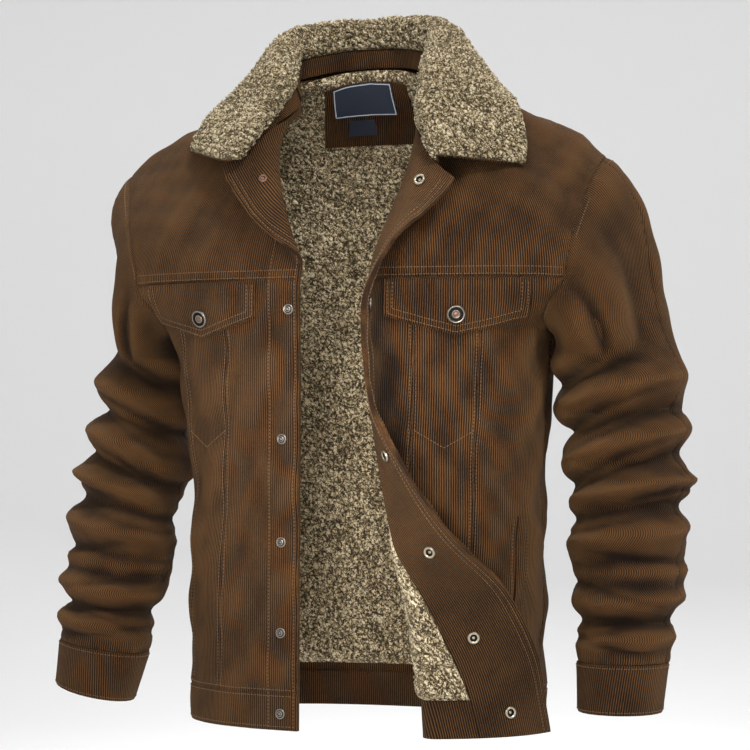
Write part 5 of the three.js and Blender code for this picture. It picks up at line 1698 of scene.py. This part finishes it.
def turned_snap(node):
    kind = next(kind for kind in SNAP_PROFILES if node.startswith(kind))
    profile = np.array(SNAP_PROFILES[kind], float)
    at = np.linspace(0, len(profile) - 1, (len(profile) - 1) * PROFILE_STEPS + 1)
    radius, height = (np.interp(at, np.arange(len(profile)), profile[:, k]) for k in range(2))
    zone = profile[np.floor(at + 1e-6).astype(int), 2].astype(int)
    dots = np.interp(at, np.arange(len(profile)), profile[:, 3])
    seat, axis = snap_seats[node]
    side_way = unit(np.cross(axis, np.array([0.1, 0.2, 1.0])))
    up_way = np.cross(axis, side_way)
    angle = np.linspace(0, 2 * math.pi, SNAP_SIDES + 1)[:-1]
    ring = side_way * np.cos(angle)[:, None] + up_way * np.sin(angle)[:, None]
    lift = height[:, None] + dots[:, None] * np.maximum(np.sin(angle * DOTS), 0)[None, :] * DOT_HEIGHT
    grid = seat + ring[None] * np.maximum(radius, 0.02)[:, None, None] + axis * lift[..., None]
    last = (len(at) - 1) * SNAP_SIDES
    faces = ring_faces(len(at), SNAP_SIDES) + [range(SNAP_SIDES)[::-1], range(last, last + SNAP_SIDES)]
    mesh = bpy.data.meshes.new("turned_" + node)
    mesh.from_pydata((grid.reshape(-1, 3) * MM).tolist(), [], faces)
    for finish in SNAP_FINISHES:
        mesh.materials.append(finish)
    zones = np.concatenate([np.repeat(zone[:-1], SNAP_SIDES), [zone[0], zone[-1]]])
    if node in COPPER_SNAPS:
        zones = np.where(zones == 0, 2, zones)
    mesh.polygons.foreach_set("material_index", zones.astype(np.int32))
    mesh.polygons.foreach_set("use_smooth", np.ones(len(faces), bool))
    mesh.update()
    piece = put("turned_" + node, mesh)
    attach(piece, "root")
    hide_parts(node)


for node in snap_nodes:
    turned_snap(node)
print("snaps:", len(snap_nodes))

# %% [markdown]
# ## Camera, light and floor
# The photograph is taken from the wearer's left, at chest height, with a long lens. The studio is a round
# pale bowl, so that the ground has no horizon from any side.

# %% Studio
CAMERA_PLACE = (0.7309, -2.1713, -0.3772)
CAMERA_AIM = (0.0204, 0.0154, -0.3170)
LENS = 105.1


def aim(thing, place, target):
    thing.location = place
    thing.rotation_euler = (Vector(target) - Vector(place)).to_track_quat("-Z", "Y").to_euler()


camera_data = bpy.data.cameras.new("camera")
camera_data.lens = LENS
camera_data.sensor_width = 36
camera = put("camera", camera_data)
aim(camera, CAMERA_PLACE, CAMERA_AIM)
bpy.context.scene.camera = camera

# Each light's place, what it faces, its size in metres and its power in watts.
JACKET_MIDDLE = (0, 0, -0.35)
SOFTBOXES = {
    "key_light": ((2.1, -2.0, 2.7), JACKET_MIDDLE, 0.7, 92),
    "fill_light": ((-2.6, -1.8, 0.5), JACKET_MIDDLE, 1.6, 9),
    "top_light": ((-0.3, 0.3, 2.3), JACKET_MIDDLE, 1.2, 34),
    "back_light": ((-0.5, 2.8, 1.0), JACKET_MIDDLE, 1.6, 40),
    "strip_light": ((0.12, -0.75, -0.32), (0.0, 0.12, -0.36), 0.3, 0.5),
    "wall_light": ((-0.35, 1.6, 0.9), (-1.3, 4.4, 0.6), 1.6, 16),
}
for name, (place, target, size, power) in SOFTBOXES.items():
    lamp = bpy.data.lights.new(name, "AREA")
    lamp.shape = "DISK"
    lamp.size = size
    lamp.energy = power
    light = put(name, lamp)
    aim(light, place, target)

    # The strip brings out the pile inside and the wall light the ground. Neither is seen itself.
    if name in ("strip_light", "wall_light"):
        light.visible_camera = False
    if name == "strip_light":
        lamp.spread = math.radians(55)
print("lights:", len(SOFTBOXES))

# %% [markdown]
# The ground is matt paper: a level floor that curves up into a wall all round.

# %% Floor and surroundings
FLOOR_Z = -1.05
BOWL_RADIUS = 4.4
BOWL_CURVE = 1.6
BOWL_HEIGHT = 4.0
paper, paper_tree, paper_shader = new_finish("pale studio paper, matt", Roughness=0.9)
paper_shader.inputs["Base Color"].default_value = linear("#DEDEDE")
grain = add(paper_tree, "ShaderNodeTexNoise", {}, {}, {"Scale": 60.0, "Detail": 3.0})
paper_bump = add(paper_tree, "ShaderNodeBump", {}, {"Height": grain.outputs["Fac"]}, {"Strength": 0.03})
paper_tree.links.new(paper_bump.outputs["Normal"], paper_shader.inputs["Normal"])
curve = np.linspace(0, math.pi / 2, 16)
radii = np.concatenate([[0.01, 1.4], BOWL_RADIUS - BOWL_CURVE + BOWL_CURVE * np.sin(curve), [BOWL_RADIUS]])
heights = np.concatenate([[0, 0], BOWL_CURVE * (1 - np.cos(curve)), [BOWL_HEIGHT]])
angles = np.linspace(0, 2 * math.pi, 97)[:-1]
bowl_points = [
    (radius * math.cos(a), radius * math.sin(a), FLOOR_Z + height)
    for radius, height in zip(radii, heights)
    for a in angles
]
bowl_faces = ring_faces(len(radii), len(angles))
bowl_mesh = bpy.data.meshes.new("studio_floor")
bowl_mesh.from_pydata(bowl_points, [], bowl_faces)
bowl_mesh.materials.append(paper)
bowl_mesh.polygons.foreach_set("use_smooth", np.ones(len(bowl_faces), bool))
put("studio_floor", bowl_mesh)

world = bpy.data.worlds.new("studio")
world.use_nodes = True
sky = world.node_tree.nodes["Background"]
sky.inputs["Color"].default_value = linear("#F2F2F2")
sky.inputs["Strength"].default_value = 0.46
bpy.context.scene.world = world
bpy.context.scene.view_settings.view_transform = "Standard"
print("the floor is %.0f mm under the hem" % (HEM_Z - FLOOR_Z / MM))
